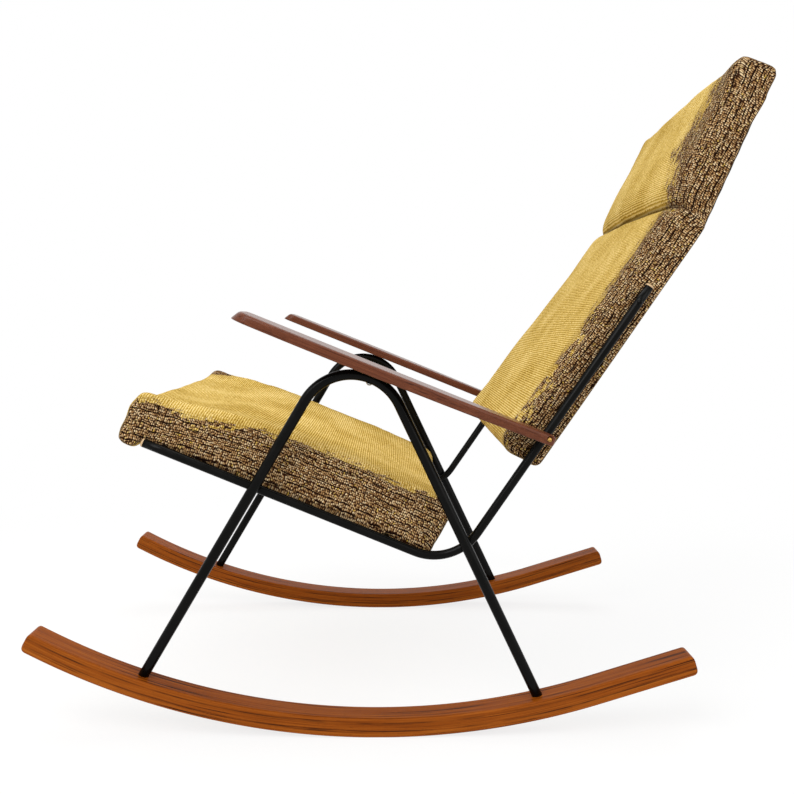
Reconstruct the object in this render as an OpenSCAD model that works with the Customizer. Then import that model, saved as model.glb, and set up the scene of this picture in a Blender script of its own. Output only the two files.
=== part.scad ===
// Rocking chair: a bent steel tube frame on two laminated runners, with paddle arms,
// an upholstered seat and an upholstered back with a headrest.
// The chair faces -X, Y = 0 is its plane of symmetry and Z = 0 is the floor.
// The origin is the floor point midway between the flats that the empty chair rests on.

/* [Runners] */
// Distance between the centre planes of the two runners
frame_spacing = 550; // [500:5:600]
// Radius of the runner's underside
runner_r = 985; // [930:5:1050]
// Height of the runner's section
runner_h = 26; // [22:1:28]
// Width of the runner's section
runner_w = 40; // [32:1:44]
// Arc from the resting point to the front tip, in degrees
runner_front_arc = 28.6; // [26:0.1:31]
// Arc from the resting point to the straight rear end, in degrees
runner_rear_arc = 17.3; // [15:0.1:20]
// Length of the straight rear end
runner_rear_l = 137; // [110:1:160]
// Length of the flat on which the empty chair comes to rest
rest_flat = 50; // [30:1:60]
// Radius of the tips' lower corners
tip_lower_ease = 7; // [4:0.5:12]
// Radius of the tips' upper corners
tip_upper_ease = 6; // [2:0.5:8]

/* [Leg hoops] */
// Outside diameter of the leg tube
leg_d = 14; // [13:0.5:16]
// Wall of the leg tube
leg_wall = 1.5; // [1:0.1:2]
// Slope of the front leg over the floor, in degrees
leg_front_angle = 59.3; // [57:0.1:61]
// Slope of the rear leg over the floor, in degrees
leg_rear_angle = 64.7; // [62:0.1:67]
// Place along X where the axes of both legs would meet
crown_x = -29; // [-40:1:-20]
// Height at which the axes of both legs would meet
crown_z = 560; // [540:1:580]
// Centreline radius of every bend in the frame
bend_r = 70; // [60:1:76]
// Depth to which a leg stands in its runner
foot_depth = 12; // [9:0.5:13]

/* [Side rails] */
// Outside diameter of the rail and crossbar tube
rail_d = 12; // [11:0.5:13]
// Wall of the rail and crossbar tube
rail_wall = 1.25; // [1:0.05:1.6]
// Slope of the seat, down to the rear, in degrees
seat_slope = 22.3; // [20:0.1:24]
// Slope of the back over the floor, in degrees
back_slope = 55.7; // [54:0.1:58]
// Place along X where the rail's seat and back stretches would meet
rail_corner_x = 100; // [95:1:110]
// Height at which the rail's seat and back stretches would meet
rail_corner_z = 221.5; // [216:0.5:228]
// Length from that corner to the rail's front end
seat_run = 444; // [430:1:460]
// Length from that corner to the rail's top end
back_run = 452; // [440:1:470]
// Distance from the rail's front end to the front crossbar
front_bar_at = 26; // [20:1:40]
// Distance from the rail's front end to the rear crossbar
rear_bar_at = 345; // [320:1:360]

/* [Arms] */
// Thickness of an arm
arm_t = 13; // [12:0.5:18]
// Slope of an arm, down to the rear, in degrees
arm_slope = 22; // [21:0.1:23]
// Length of an arm ahead of the point where it rests on its hoop
arm_reach = 192; // [180:1:200]
// Length of an arm behind the axis of the rail that it passes
arm_tail = 8.5; // [8:0.5:14]
// Width of an arm at its widest place
arm_w = 92; // [84:1:100]
// Distance from the front tip to the widest place
arm_widest_at = 150; // [130:1:170]
// Width of the tongue that passes outside the rail
arm_tongue = 28; // [24:1:32]
// Length of the notch ahead of the rail's axis
arm_notch = 17.5; // [14:0.5:26]
// Corner radius of the front tip
arm_tip_r = 30; // [20:1:36]
// How far the front end leans back over the arm's thickness
arm_tip_lean = 7; // [3:0.5:10]

/* [Seat] */
// Length of the seat cushion behind the rail's front end
seat_l = 412; // [404:1:424]
// Height of the seat cushion over its board's underside
seat_h = 73; // [64:1:80]
// Length of the seat's rolled nose ahead of the rail
seat_nose = 40; // [34:1:44]
// Depth to which the nose hangs below the seat's underside
nose_drop = 23; // [18:0.5:28]
// Thickness of the seat board
board_t = 18; // [12:0.5:18]
// Length of the seat board
board_l = 386; // [370:1:390]
// Strip of padding outside the board on each side
board_margin = 14; // [10:1:20]
// Length of the wooden rail in the seat's nose
nose_rail_l = 26; // [18:1:28]
// Height of the wooden rail in the seat's nose
nose_rail_h = 36; // [24:1:40]
// How far the seat's top is hollowed from its sides to its middle
seat_dish = 9; // [0:0.5:12]

/* [Back] */
// Distance from the rail corner to the lower end of the back
back_start = 172; // [168:1:178]
// Length of the straight part of the back, up to the headrest's seam
back_l = 391; // [380:1:400]
// Length of the headrest over its seam
head_l = 214; // [200:1:226]
// Thickness of the back
back_t = 58; // [54:1:64]
// Distance from the rail's axis to the rear face of the back
back_rear = 16.5; // [14:0.5:19]
// How far the headrest's rear leans forward by its top end
head_lean = 40; // [30:1:46]
// Swell of the back's front from its sides to its middle
back_crown = 7; // [0:0.5:10]
// Swell of the headrest's front from its sides to its middle
head_crown = 14; // [8:0.5:20]
// Padding over the front of the back's wooden frame
back_pad = 9; // [8:0.5:14]
// Padding over the ends of the back's wooden frame
end_pad = 11; // [10:0.5:16]
// Upholstery over the sides of the back's wooden frame
side_pad = 5; // [4:0.5:7]
// Thickness of the frame's boards
stile_t = 15; // [14:0.5:20]
// Number of straps across the back
strap_count = 5; // [4:1:6]
// Width of a strap
strap_w = 50; // [40:1:54]
// Thickness of a strap
strap_t = 1.5; // [1:0.1:2]
// Thickness of the lining behind the back
lining_t = 1.5; // [1:0.1:2.5]

/* [Cushion edges] */
// Radius of the cushions' long edges
edge_r = 16; // [12:0.5:20]
// How far the cushions' sides are drawn in at mid-length
side_draw = 2; // [0:0.25:4]
// Clearance between a cushion's side and the rail
side_gap = 1.5; // [1:0.25:3]

/* [Fasteners] */
// Diameter of the wood screws
screw_d = 4; // [3.5:0.1:4.5]
// Diameter of the wood screws' heads
screw_head_d = 8; // [7:0.25:9]
// Height of the wood screws' heads
screw_head_h = 2.6; // [2:0.1:3]
// Width of the slot in a wood screw's head
screw_slot = 1.2; // [0.8:0.1:1.4]
// Diameter of the bolts that hold the runners
bolt_d = 6; // [5:0.25:7]
// Diameter of the bolts' heads
bolt_head_d = 10; // [9:0.25:10.5]
// Height of the bolts' heads
bolt_head_h = 3.5; // [3:0.1:4]
// Depth to which a bolt's head is sunk in the runner
bolt_sink = 5; // [4.5:0.1:5.5]
// Length of the threaded plug welded into each foot
foot_plug_l = 16; // [12:0.5:22]
// Height of the domed caps on the rails' open ends
cap_h = 3; // [2:0.25:4]
// Length of the caps' shanks
cap_shank = 10; // [7:0.5:14]

/* [Fits] */
// Clearance between parts that are bolted, screwed or pressed together
fit = 0.1; // [0.05:0.01:0.2]
// Clearance between soft parts and their neighbours
soft_fit = 0.3; // [0.2:0.05:0.5]
// Length by which a straight stretch of tube runs on over its bend
lap = 0.5; // [0.3:0.1:0.6]
// Loss of a tube's diameter in its bend
bend_draw = 0.1; // [0.06:0.02:0.2]

/* [Hidden] */

$fn = 48;
left = -1;
right = 1;
// Every cutter runs this far past the face that it opens
overrun = 2;
// Points on each rounded corner of an outline
corner_steps = 4;
// Fall of a cushion's upper and end faces at its sides, as a share of the edge radius, and the
// share of that fall on the faces that lie on the frame
edge_fall_share = 0.45;
rest_fall_share = 0.2;
// Steps over a cushion's rounded long edge, and across its flat middle
edge_steps = 4;
middle_steps = 8;

// Runner: the flat lies on the floor, so the arc's centre stands a little lower than its radius
arc_z = sqrt(pow(runner_r, 2) - pow(rest_flat / 2, 2));
arc_centre = [0, arc_z];
runner_top_r = runner_r - runner_h;
side_y = frame_spacing / 2;

// Leg hoop: both legs run down from the crown's corner
crown = [crown_x, crown_z];
front_leg_dir = 180 + leg_front_angle;
rear_leg_dir = 360 - leg_rear_angle;
front_leg_l = reach_arc(crown, front_leg_dir, runner_top_r) + foot_depth;
rear_leg_l = reach_arc(crown, rear_leg_dir, runner_top_r) + foot_depth;
front_foot = crown + front_leg_l * heading(front_leg_dir);
rear_foot = crown + rear_leg_l * heading(rear_leg_dir);
front_sole = reach_arc(crown, front_leg_dir, runner_r) - front_leg_l;
rear_sole = reach_arc(crown, rear_leg_dir, runner_r) - rear_leg_l;
crown_half = (rear_leg_dir - front_leg_dir) / 2;
crown_centre = crown + bend_r / sin(crown_half) * heading((front_leg_dir + rear_leg_dir) / 2);
leg_bore_d = leg_d - 2 * leg_wall;

// Side rail: it is welded to the inner side of the hoop
rail_y = side_y - (leg_d + rail_d) / 2 - fit;
rail_corner = [rail_corner_x, rail_corner_z];
seat_dir = 180 - seat_slope;
rail_front = rail_corner + seat_run * heading(seat_dir);
rail_bore_d = rail_d - 2 * rail_wall;

// Arm: its underside rests on the outside of the hoop's bend
crown_touch = crown_centre + (bend_r + leg_d / 2 + fit) * heading(90 - arm_slope);
arm_tip = crown_touch - arm_reach * heading(-arm_slope);
cushion_y = rail_y - rail_d / 2 - side_gap;
arm_inner = cushion_y + side_gap * 2;
arm_tongue_y = rail_y + rail_d / 2 + fit;
arm_outer = arm_inner + arm_w;
arm_rear_outer = arm_tongue_y + arm_tongue;
// Distance up the back stretch of the rail at which its axis meets the arm's mid-thickness
rail_pass_u = ((crown_touch + arm_t / 2 * heading(90 - arm_slope) - rail_corner) * heading(90 - arm_slope))
  / (heading(back_slope) * heading(90 - arm_slope));
arm_pin = rail_corner + rail_pass_u * heading(back_slope);
// The arm runs on past the rail by its tail, and its notch opens ahead of it
arm_rail_at = (arm_pin - arm_tip) * heading(-arm_slope);
arm_l = arm_rail_at + arm_tail;
notch_at = arm_rail_at - arm_notch;
arm_fall = arm_outer - arm_rear_outer;
arm_run = arm_l - arm_widest_at;
arm_curve_r = (pow(arm_run, 2) + pow(arm_fall, 2)) / (2 * arm_fall);
screw_seat_y = arm_edge(arm_rail_at) - screw_head_h;

// Seat: the board lies on the two crossbars, and the cushion covers it down to its underside
seat_floor = rail_d / 2 + fit;
board_at = front_bar_at - 2 * rail_d;
board_y = cushion_y - board_margin;
board_screw_share = 0.7;

// Back: its frame and padding stand between the two rails
head_end = back_start + back_l + head_l;
seam_at = back_start + back_l;
frame_y = cushion_y - side_pad;
upper_screw_u = back_run - 2 * rail_d;
lean_slope = head_lean / head_l;

// Outlines as [length, height, corner radius], each as a share of the size named beside it
// Seat top: length over seat_l, height and radius over seat_h
seat_top_shares = [[1.012, 0.93, 0.3], [0.7, 1.01, 3], [0.32, 1, 3]];
// Nose: length over seat_nose, height over seat_h above the underside, radius over seat_nose
nose_shares = [[-0.7, 0.79, 0.28], [-0.97, 0.25, 2], [-1.01, 0, 0.6]];
// Nose underside: length over seat_nose, height over nose_drop, radius over nose_drop
nose_roll_shares = [[-0.9, -1, 0.52], [-0.18, -1, 0.3], [-0.1, 0, 0.13]];
// Seat rear: length over seat_l
seat_rear_share = 0.993;
seat_rear_r_share = 0.09;
// Back front: length over back_l from the lower end, height over back_t from the rear face
back_front_shares = [[0, 1, 0.45], [0.19, 1.03, 1], [0.5, 0.94, 3], [0.79, 0.8, 3], [0.955, 0.78, 0.3]];
// Headrest front: length over head_l from the seam, height over back_t from the rear plane
seam_share = 0.7;
seam_r_share = 0.05;
head_front_shares = [[0.09, 0.84, 0.2], [0.28, 0.93, 1], [0.6, 1.1, 3], [0.985, 1.33, 0.22]];
// Radii of the back's rear corners over back_t
back_rear_r_share = 0.16;
head_rear_r_share = 0.19;
kink_r_share = 2;

// Unit vector at an angle from +X, in the XZ plane
function heading(a) = [cos(a), sin(a)];

// Distance from a point inside the runner's arcs, along an angle, to the arc of radius r
function reach_arc(p, a, r) =
  let (o = p - arc_centre, b = o * heading(a)) sqrt(b * b - o * o + r * r) - b;

function unit(v) = v / norm(v);

// Arc that rounds corner b between its neighbours a and c
function round_corner(a, b, c, r) =
  let (
    u = unit(a - b),
    v = unit(c - b),
    half = acos(u * v) / 2,
    centre = b + unit(u + v) * r / sin(half),
    from = b + u * r / tan(half) - centre,
    turn = (u[0] * v[1] - u[1] * v[0] < 0 ? 1 : -1) * (180 - 2 * half),
    start = atan2(from[1], from[0])
  )
  [for (i = [0:corner_steps]) centre + r * heading(start + turn * i / corner_steps)];

// Closed outline through [x, y, radius] corners, each rounded to its radius
function rounded(c) = [
  for (i = [0:len(c) - 1])
    let (
      a = c[(i + len(c) - 1) % len(c)],
      b = c[i],
      d = c[(i + 1) % len(c)]
    )
    each (b[2] > 0
      ? round_corner([a[0], a[1]], [b[0], b[1]], [d[0], d[1]], b[2])
      : [[b[0], b[1]]])
];

// Outward normal of a clockwise outline at point i
function outward(p, i) =
  let (t = unit(p[(i + 1) % len(p)] - p[(i + len(p) - 1) % len(p)])) [-t[1], t[0]];

// Side outline of the seat in the seat rail's frame, clockwise
seat_outline = rounded(concat(
  [[seat_l * seat_rear_share, seat_floor, seat_h * seat_rear_r_share]],
  [for (i = [len(nose_roll_shares) - 1:-1:0]) let (s = nose_roll_shares[i])
    [s[0] * seat_nose, seat_floor + s[1] * nose_drop, s[2] * nose_drop]],
  [for (i = [len(nose_shares) - 1:-1:0]) let (s = nose_shares[i])
    [s[0] * seat_nose, seat_floor + s[1] * seat_h, s[2] * seat_nose]],
  [for (i = [len(seat_top_shares) - 1:-1:0]) let (s = seat_top_shares[i])
    [s[0] * seat_l, seat_floor + s[1] * seat_h, s[2] * seat_h]]
));

// Side outline of the back in the back rail's frame, clockwise
back_outline = rounded(concat(
  [[back_start, -back_rear, back_t * back_rear_r_share]],
  [for (s = back_front_shares)
    [back_start + s[0] * back_l, s[1] * back_t - back_rear, s[2] * back_t]],
  [[seam_at, seam_share * back_t - back_rear, back_t * seam_r_share]],
  [for (s = head_front_shares)
    [seam_at + s[0] * head_l, s[1] * back_t - back_rear, s[2] * back_t]],
  [[head_end, head_lean - back_rear, back_t * head_rear_r_share]],
  [[seam_at, -back_rear, back_t * kink_r_share]]
));

// Front of the back's hollow in the back rail's frame, from its lower end to its top end
hollow_start = back_start + end_pad;
hollow_end = head_end - end_pad;
hollow_front = concat(
  [[hollow_start, back_front_shares[0][1] * back_t - back_rear - back_pad * 1.5]],
  [for (i = [1:len(back_front_shares) - 1]) let (s = back_front_shares[i])
    [back_start + s[0] * back_l, s[1] * back_t - back_rear - back_pad]],
  [[seam_at, seam_share * back_t - back_rear - back_pad]],
  [for (i = [1:len(head_front_shares) - 2]) let (s = head_front_shares[i])
    [seam_at + s[0] * head_l, s[1] * back_t - back_rear - back_pad]],
  [[hollow_end, head_front_shares[2][1] * back_t - back_rear - back_pad]]
);

// Swell of the back's front along it
back_crowns = [
  [seam_at, back_crown],
  [seam_at + head_l / 4, head_crown],
  [seam_at + head_l / 2, head_crown],
  [head_end, head_crown / 4]
];

// Height of the back's rear face at a place along it
function rear_at(u) = max(0, u - seam_at) * lean_slope - back_rear;

// Height of the hollow's front at a place along it
function hollow_at(u) = lookup(u, hollow_front);

// Stations across a cushion as [y, inset]: the insets round its long edges
function stations(half) =
  let (flat = half - edge_r)
  concat(
    [for (i = [edge_steps:-1:1]) let (a = 90 * i / edge_steps) [-flat - edge_r * sin(a), edge_r * (1 - cos(a))]],
    [for (i = [0:middle_steps]) [flat * (2 * i / middle_steps - 1), 0]],
    [for (i = [1:edge_steps]) let (a = 90 * i / edge_steps) [flat + edge_r * sin(a), edge_r * (1 - cos(a))]]
  );

// Cushion swept across Y from its side outline: the edges are rounded, the upper face swells
// towards the middle by the crown that is looked up along it, and the sides are drawn in
module cushion(outline, half, crowns) {
  rows = stations(half);
  n = len(outline);
  xs = [for (p = outline) p[0]];
  mid = (max(xs) + min(xs)) / 2;
  reach = (max(xs) - min(xs)) / 2;
  points = [
    for (row = rows, i = [0:n - 1])
      let (
        p = outline[i],
        o = outward(outline, i),
        swell = lookup(p[0], crowns) * max(0, o[1]) * (1 - pow(row[0] / half, 2)),
        fall = row[1] * edge_fall_share * (1 + min(0, o[1]) * (1 - rest_fall_share)),
        q = p + (swell - fall) * o,
        draw = side_draw * (1 - pow((p[0] - mid) / reach, 2))
      )
      [q[0], row[0] * (1 - draw / half), q[1]]
  ];
  last = (len(rows) - 1) * n;
  faces = concat(
    [[for (i = [0:n - 1]) i]],
    [for (j = [0:len(rows) - 2], i = [0:n - 1]) let (k = (i + 1) % n) [j * n + i, (j + 1) * n + i, j * n + k]],
    [for (j = [0:len(rows) - 2], i = [0:n - 1]) let (k = (i + 1) % n)
      [(j + 1) * n + i, (j + 1) * n + k, j * n + k]],
    [[for (i = [n - 1:-1:0]) last + i]]
  );
  polyhedron(points, faces);
}

// Frames in which the pieces are drawn
module in_seat_frame() {
  translate([rail_front[0], 0, rail_front[1]])
    rotate([0, seat_slope, 0])
      children();
}

module in_back_frame() {
  translate([rail_corner[0], 0, rail_corner[1]])
    rotate([0, -back_slope, 0])
      children();
}

module in_arm_frame() {
  translate([arm_tip[0], 0, arm_tip[1]])
    rotate([0, arm_slope, 0])
      children();
}

// At the end of a leg, with +Z up the leg
module at_foot(foot, dir, side) {
  translate([foot[0], side * side_y, foot[1]])
    rotate([0, 270 - dir, 0])
      children();
}

module at_both_feet(side) {
  at_foot(front_foot, front_leg_dir, side)
    children();
  at_foot(rear_foot, rear_leg_dir, side)
    children();
}

// Along Y at one side, pointing outwards
module across(side) {
  rotate([-90 * side, 0, 0])
    children();
}

// Solid rod with one bend, in the XZ plane: two straight stretches leave the corner
// at angles a1 and a2, and each ends at its length plus the extra
module bent_rod(corner, a1, l1, a2, l2, d, extra) {
  half = (a2 - a1) / 2;
  setback = bend_r / tan(half);
  rotate([90, 0, 0])
    translate(corner) {
      for (leg = [[a1, l1], [a2, l2]])
        rotate([0, 0, leg[0]])
          translate([setback - lap, 0, 0])
            rotate([0, 90, 0])
              cylinder(d = d, h = leg[1] - setback + lap + extra);
      translate(bend_r / sin(half) * heading(a1 + half))
        rotate([0, 0, a1 + 2 * half + 90])
          rotate_extrude(angle = 180 - 2 * half, $fn = 96)
            translate([bend_r, 0])
              circle(d = d - bend_draw);
    }
}

// Rounding cutter for a square corner at the origin whose wood lies towards -X and +Y
module corner_cut(r) {
  difference() {
    translate([-r, -overrun])
      square([r + overrun, r + overrun]);
    translate([-r, r])
      circle(r);
  }
}

// Runner's side outline: an arc that runs on as a straight rear end, cut flat where it rests
module runner_outline() {
  far = 2 * runner_r;
  front = -90 - runner_front_arc;
  rear = -90 + runner_rear_arc;
  difference() {
    translate(arc_centre) {
      intersection() {
        difference() {
          circle(runner_r, $fn = 360);
          circle(runner_top_r, $fn = 360);
          rotate(front)
            translate([runner_r, 0])
              corner_cut(tip_lower_ease);
          rotate(front)
            translate([runner_top_r, 0])
              mirror([1, 0])
                corner_cut(tip_upper_ease);
        }
        polygon([[0, 0], far * heading(front), far * heading(rear)]);
      }
      rotate(rear)
        difference() {
          translate([runner_top_r, -lap])
            square([runner_h, runner_rear_l + lap]);
          translate([runner_r, runner_rear_l])
            mirror([0, 1])
              corner_cut(tip_lower_ease);
          translate([runner_top_r, runner_rear_l])
            mirror([1, 0])
              mirror([0, 1])
                corner_cut(tip_upper_ease);
        }
    }
    translate([-runner_r, -runner_h])
      square([2 * runner_r, runner_h]);
  }
}

module runner(side) {
  color("peru")
    difference() {
      translate([0, side * side_y, 0])
        rotate([90, 0, 0])
          linear_extrude(height = runner_w, center = true)
            runner_outline();
      at_both_feet(side)
        translate([0, 0, -fit])
          cylinder(d = leg_d + 2 * fit, h = foot_depth + leg_d);
      at_both_feet(side)
        translate([0, 0, -runner_h])
          cylinder(d = bolt_d + 2 * fit, h = runner_h);
      for (foot = [[front_foot, front_leg_dir, front_sole], [rear_foot, rear_leg_dir, rear_sole]])
        at_foot(foot[0], foot[1], side)
          translate([0, 0, -foot[2] - runner_h])
            cylinder(d = bolt_head_d + 4 * fit, h = runner_h + bolt_sink);
    }
}

module leg_hoop(side) {
  color("dimgray")
    translate([0, side * side_y, 0])
      difference() {
        bent_rod(crown, front_leg_dir, front_leg_l, rear_leg_dir, rear_leg_l, leg_d, 0);
        bent_rod(crown, front_leg_dir, front_leg_l, rear_leg_dir, rear_leg_l, leg_bore_d, overrun);
        crown_screw_hole(bend_r);
      }
}

// Hole for the screw that rises through the hoop's bend into the arm
module crown_screw_hole(l) {
  translate([crown_centre[0], 0, crown_centre[1]])
    rotate([0, arm_slope, 0])
      translate([0, 0, bend_r - l / 2])
        cylinder(d = screw_d + 2 * fit, h = l);
}

module side_rail(side) {
  color("dimgray")
    difference() {
      translate([0, side * rail_y, 0])
        difference() {
          bent_rod(rail_corner, back_slope, back_run, seat_dir, seat_run, rail_d, 0);
          bent_rod(rail_corner, back_slope, back_run, seat_dir, seat_run, rail_bore_d, overrun);
        }
      side_screw_hole(arm_pin, side);
      side_screw_hole(rail_corner + upper_screw_u * heading(back_slope), side);
    }
}

// Hole across the rail at a point of its axis
module side_screw_hole(p, side) {
  translate([p[0], side * (rail_y - rail_d), p[1]])
    across(side)
      cylinder(d = screw_d + 2 * fit, h = 2 * rail_d);
}

// Crossbar between the rails, with its ends coped to them and its screw holes drilled
module crossbar(at) {
  color("dimgray")
    in_seat_frame()
      difference() {
        translate([at, -rail_y, 0])
          rotate([-90, 0, 0])
            cylinder(d = rail_d, h = 2 * rail_y);
        translate([at, -rail_y - rail_d, 0])
          rotate([-90, 0, 0])
            cylinder(d = rail_bore_d, h = 2 * (rail_y + rail_d));
        for (side = [left, right])
          translate([at - rail_d, side * rail_y, 0])
            rotate([0, 90, 0])
              cylinder(d = rail_d + 2 * fit, h = 2 * rail_d);
        for (side = [left, right])
          translate([at, side * board_screw_share * board_y, -rail_d])
            cylinder(d = screw_d + 2 * fit, h = 2 * rail_d);
      }
}

// Distance of the arm's outer edge from the plane of symmetry, at a place along the arm
function arm_edge(u) =
  arm_outer - arm_curve_r + sqrt(pow(arm_curve_r, 2) - pow(u - arm_widest_at, 2));

// Arm's plan for the +Y side: straight inside, swelling outside, notched for the rail
module arm_plan() {
  bow_steps = 16;
  bow_from = arm_tip_r * 1.2;
  bow_l = notch_at - bow_from;
  polygon(rounded(concat(
    [[0, arm_inner, arm_tip_r / 2], [0, arm_edge(0), arm_tip_r]],
    [for (i = [0:bow_steps]) let (u = bow_from + bow_l * i / bow_steps) [u, arm_edge(u), 0]],
    [[arm_l, arm_rear_outer, arm_t / 2], [arm_l, arm_tongue_y, fit]],
    [[notch_at, arm_tongue_y, fit], [notch_at, arm_inner, fit * 20]]
  )));
}

// Arm's side outline: the front end leans back, and the ends are eased
module arm_side() {
  polygon(rounded([
    [0, 0, arm_t / 8],
    [arm_tip_lean, arm_t, arm_t / 3],
    [arm_l, arm_t, arm_t / 4],
    [arm_l, 0, arm_t / 4]
  ]));
}

module arm(side) {
  color("sienna")
    mirror([0, side == left ? 1 : 0, 0])
      difference() {
        in_arm_frame()
          intersection() {
            linear_extrude(height = arm_t)
              arm_plan();
            translate([0, arm_outer + overrun, 0])
              rotate([90, 0, 0])
                linear_extrude(height = arm_w + 2 * overrun)
                  arm_side();
          }
        translate([0, side_y, 0])
          crown_screw_hole(bend_r / 2);
        translate([arm_pin[0], arm_tongue_y - overrun, arm_pin[1]])
          across(right)
            cylinder(d = screw_d + 2 * fit, h = arm_tongue + 2 * overrun);
        translate([arm_pin[0], screw_seat_y, arm_pin[1]])
          across(right)
            cylinder(d = screw_head_d + 4 * fit, h = arm_tongue);
      }
}

// Threaded plugs in the hoops' feet
module foot_plugs() {
  color("silver")
    for (side = [left, right])
      at_both_feet(side)
        difference() {
          cylinder(d = leg_bore_d - 2 * fit, h = foot_plug_l);
          translate([0, 0, -overrun])
            cylinder(d = bolt_d + fit, h = foot_plug_l + 2 * overrun);
        }
}

// Bolts that draw the runners up against the feet
module runner_bolts() {
  color("silver")
    for (side = [left, right], foot = [[front_foot, front_leg_dir, front_sole], [rear_foot, rear_leg_dir, rear_sole]])
      at_foot(foot[0], foot[1], side) {
        translate([0, 0, bolt_sink - foot[2] - lap])
          cylinder(d = bolt_d, h = foot[2] - bolt_sink + lap + foot_plug_l);
        translate([0, 0, bolt_sink - foot[2] - bolt_head_h])
          cylinder(d = bolt_head_d, h = bolt_head_h);
      }
}

// Cap for a rail's open end: a shank in the bore under a head with a rounded rim, along +X
module end_cap() {
  rotate([0, 90, 0]) {
    translate([0, 0, -cap_shank])
      cylinder(d = rail_bore_d - 2 * fit, h = cap_shank + cap_h / 2);
    translate([0, 0, fit])
      rotate_extrude()
        polygon(rounded([[0, 0, 0], [rail_d / 2, 0, 0], [rail_d / 2, cap_h, cap_h * 0.8], [0, cap_h, 0]]));
  }
}

module rail_end_caps() {
  color("tan")
    for (side = [left, right]) {
      in_back_frame()
        translate([back_run, side * rail_y, 0])
          end_cap();
      in_seat_frame()
        translate([0, side * rail_y, 0])
          rotate([0, 180, 0])
            end_cap();
    }
}

// Screw with its head's underside at the origin and its shank along +Z
module wood_screw(l) {
  difference() {
    union() {
      translate([0, 0, -screw_head_h])
        rotate_extrude()
          intersection() {
            square([screw_head_d / 2, screw_head_h]);
            translate([0, head_dome_r])
              circle(head_dome_r, $fn = 96);
          }
      translate([0, 0, -screw_head_h / 2])
        cylinder(d = screw_d, h = screw_head_h / 2 + l);
    }
    translate([-screw_head_d, -screw_slot / 2, -2 * screw_head_h])
      cube([2 * screw_head_d, screw_slot, screw_head_h * 1.4]);
  }
}

// Radius of the screw head's dome, which falls by the head's height at its rim
head_dome_r = (pow(screw_head_d / 2, 2) + pow(screw_head_h, 2)) / (2 * screw_head_h);

// One screw through each hoop's crown, up into the arm
module arm_crown_screws() {
  color("gray")
    for (side = [left, right])
      translate([crown_centre[0], side * side_y, crown_centre[1]])
        rotate([0, arm_slope, 0])
          translate([0, 0, bend_r - leg_d / 2 - fit])
            wood_screw(leg_d + arm_t * 0.7);
}

// One screw through each arm and rail into the back's frame
module arm_back_screws() {
  color("goldenrod")
    for (side = [left, right])
      translate([arm_pin[0], side * screw_seat_y, arm_pin[1]])
        across(-side)
          wood_screw(screw_seat_y - frame_y + stile_t * 0.8);
}

// One screw through each rail's top end into the back's frame
module back_upper_screws() {
  color("gray")
    for (side = [left, right])
      in_back_frame()
        translate([upper_screw_u, side * (rail_y + rail_d / 2 + fit), 0])
          across(-side)
            wood_screw(rail_y + rail_d / 2 - frame_y + stile_t * 0.8);
}

// Four screws up through the crossbars into the seat board
module seat_board_screws() {
  color("gray")
    in_seat_frame()
      for (at = [front_bar_at, rear_bar_at], side = [left, right])
        translate([at, side * board_screw_share * board_y, -rail_d / 2 - fit])
          wood_screw(rail_d + board_t * 0.7);
}

module seat_board() {
  color("burlywood")
    in_seat_frame()
      difference() {
        translate([board_at, -board_y, seat_floor])
          cube([board_l, 2 * board_y, board_t]);
        for (at = [front_bar_at, rear_bar_at], side = [left, right])
          translate([at, side * board_screw_share * board_y, 0])
            cylinder(d = screw_d + 2 * fit, h = seat_floor + board_t * 0.75);
      }
}

// Wooden rail along the board's front edge, which holds up the cushion's nose
module seat_nose_rail() {
  color("burlywood")
    in_seat_frame()
      translate([board_at - fit - nose_rail_l, -board_y, seat_floor])
        cube([nose_rail_l, 2 * board_y, nose_rail_h]);
}

// The seat's padding and cover, with a pocket for the board and the nose rail
module seat_cushion() {
  pocket_w = 2 * (board_y + soft_fit);
  color("darkkhaki")
    in_seat_frame()
      difference() {
        cushion(seat_outline, cushion_y, [[0, -seat_dish], [seat_l, -seat_dish]]);
        translate([board_at - fit - nose_rail_l - soft_fit, -pocket_w / 2, -rail_d])
          cube([fit + nose_rail_l + board_l + 2 * soft_fit, pocket_w, seat_floor + rail_d + board_t + soft_fit]);
        translate([board_at - fit - nose_rail_l - soft_fit, -pocket_w / 2, -rail_d])
          cube([nose_rail_l + 2 * soft_fit, pocket_w, seat_floor + rail_d + nose_rail_h + soft_fit]);
      }
}

// Side outline of the hollow in the back, drawn in by a clearance, from the rear face forwards
module hollow_side(gap, rear_gap) {
  polygon(concat(
    [[hollow_start + gap, rear_at(0) + rear_gap]],
    [[hollow_start + gap, hollow_front[0][1] - gap]],
    [for (i = [1:len(hollow_front) - 2]) [hollow_front[i][0], hollow_front[i][1] - gap]],
    [[hollow_end - gap, hollow_at(hollow_end) - gap]],
    [[hollow_end - gap, rear_at(hollow_end - gap) + rear_gap]],
    [[seam_at, rear_at(seam_at) + rear_gap]]
  ));
}

// Slab of the hollow's side outline between two places across the back
module hollow_slab(y1, y2, gap, rear_gap) {
  translate([0, y2, 0])
    rotate([90, 0, 0])
      linear_extrude(height = y2 - y1)
        hollow_side(gap, rear_gap);
}

// Upright board of the back's frame, drilled for the screws that hold it to the rail
module back_stile(side) {
  color("burlywood")
    difference() {
      in_back_frame()
        mirror([0, side == left ? 1 : 0, 0])
          hollow_slab(frame_y - stile_t, frame_y - soft_fit, strap_t + 2 * soft_fit, lining_t + soft_fit);
      for (p = [arm_pin, rail_corner + upper_screw_u * heading(back_slope)])
        translate([p[0], side * (frame_y - stile_t - overrun), p[1]])
          across(side)
            cylinder(d = screw_d + fit, h = stile_t + 2 * overrun);
    }
}

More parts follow.
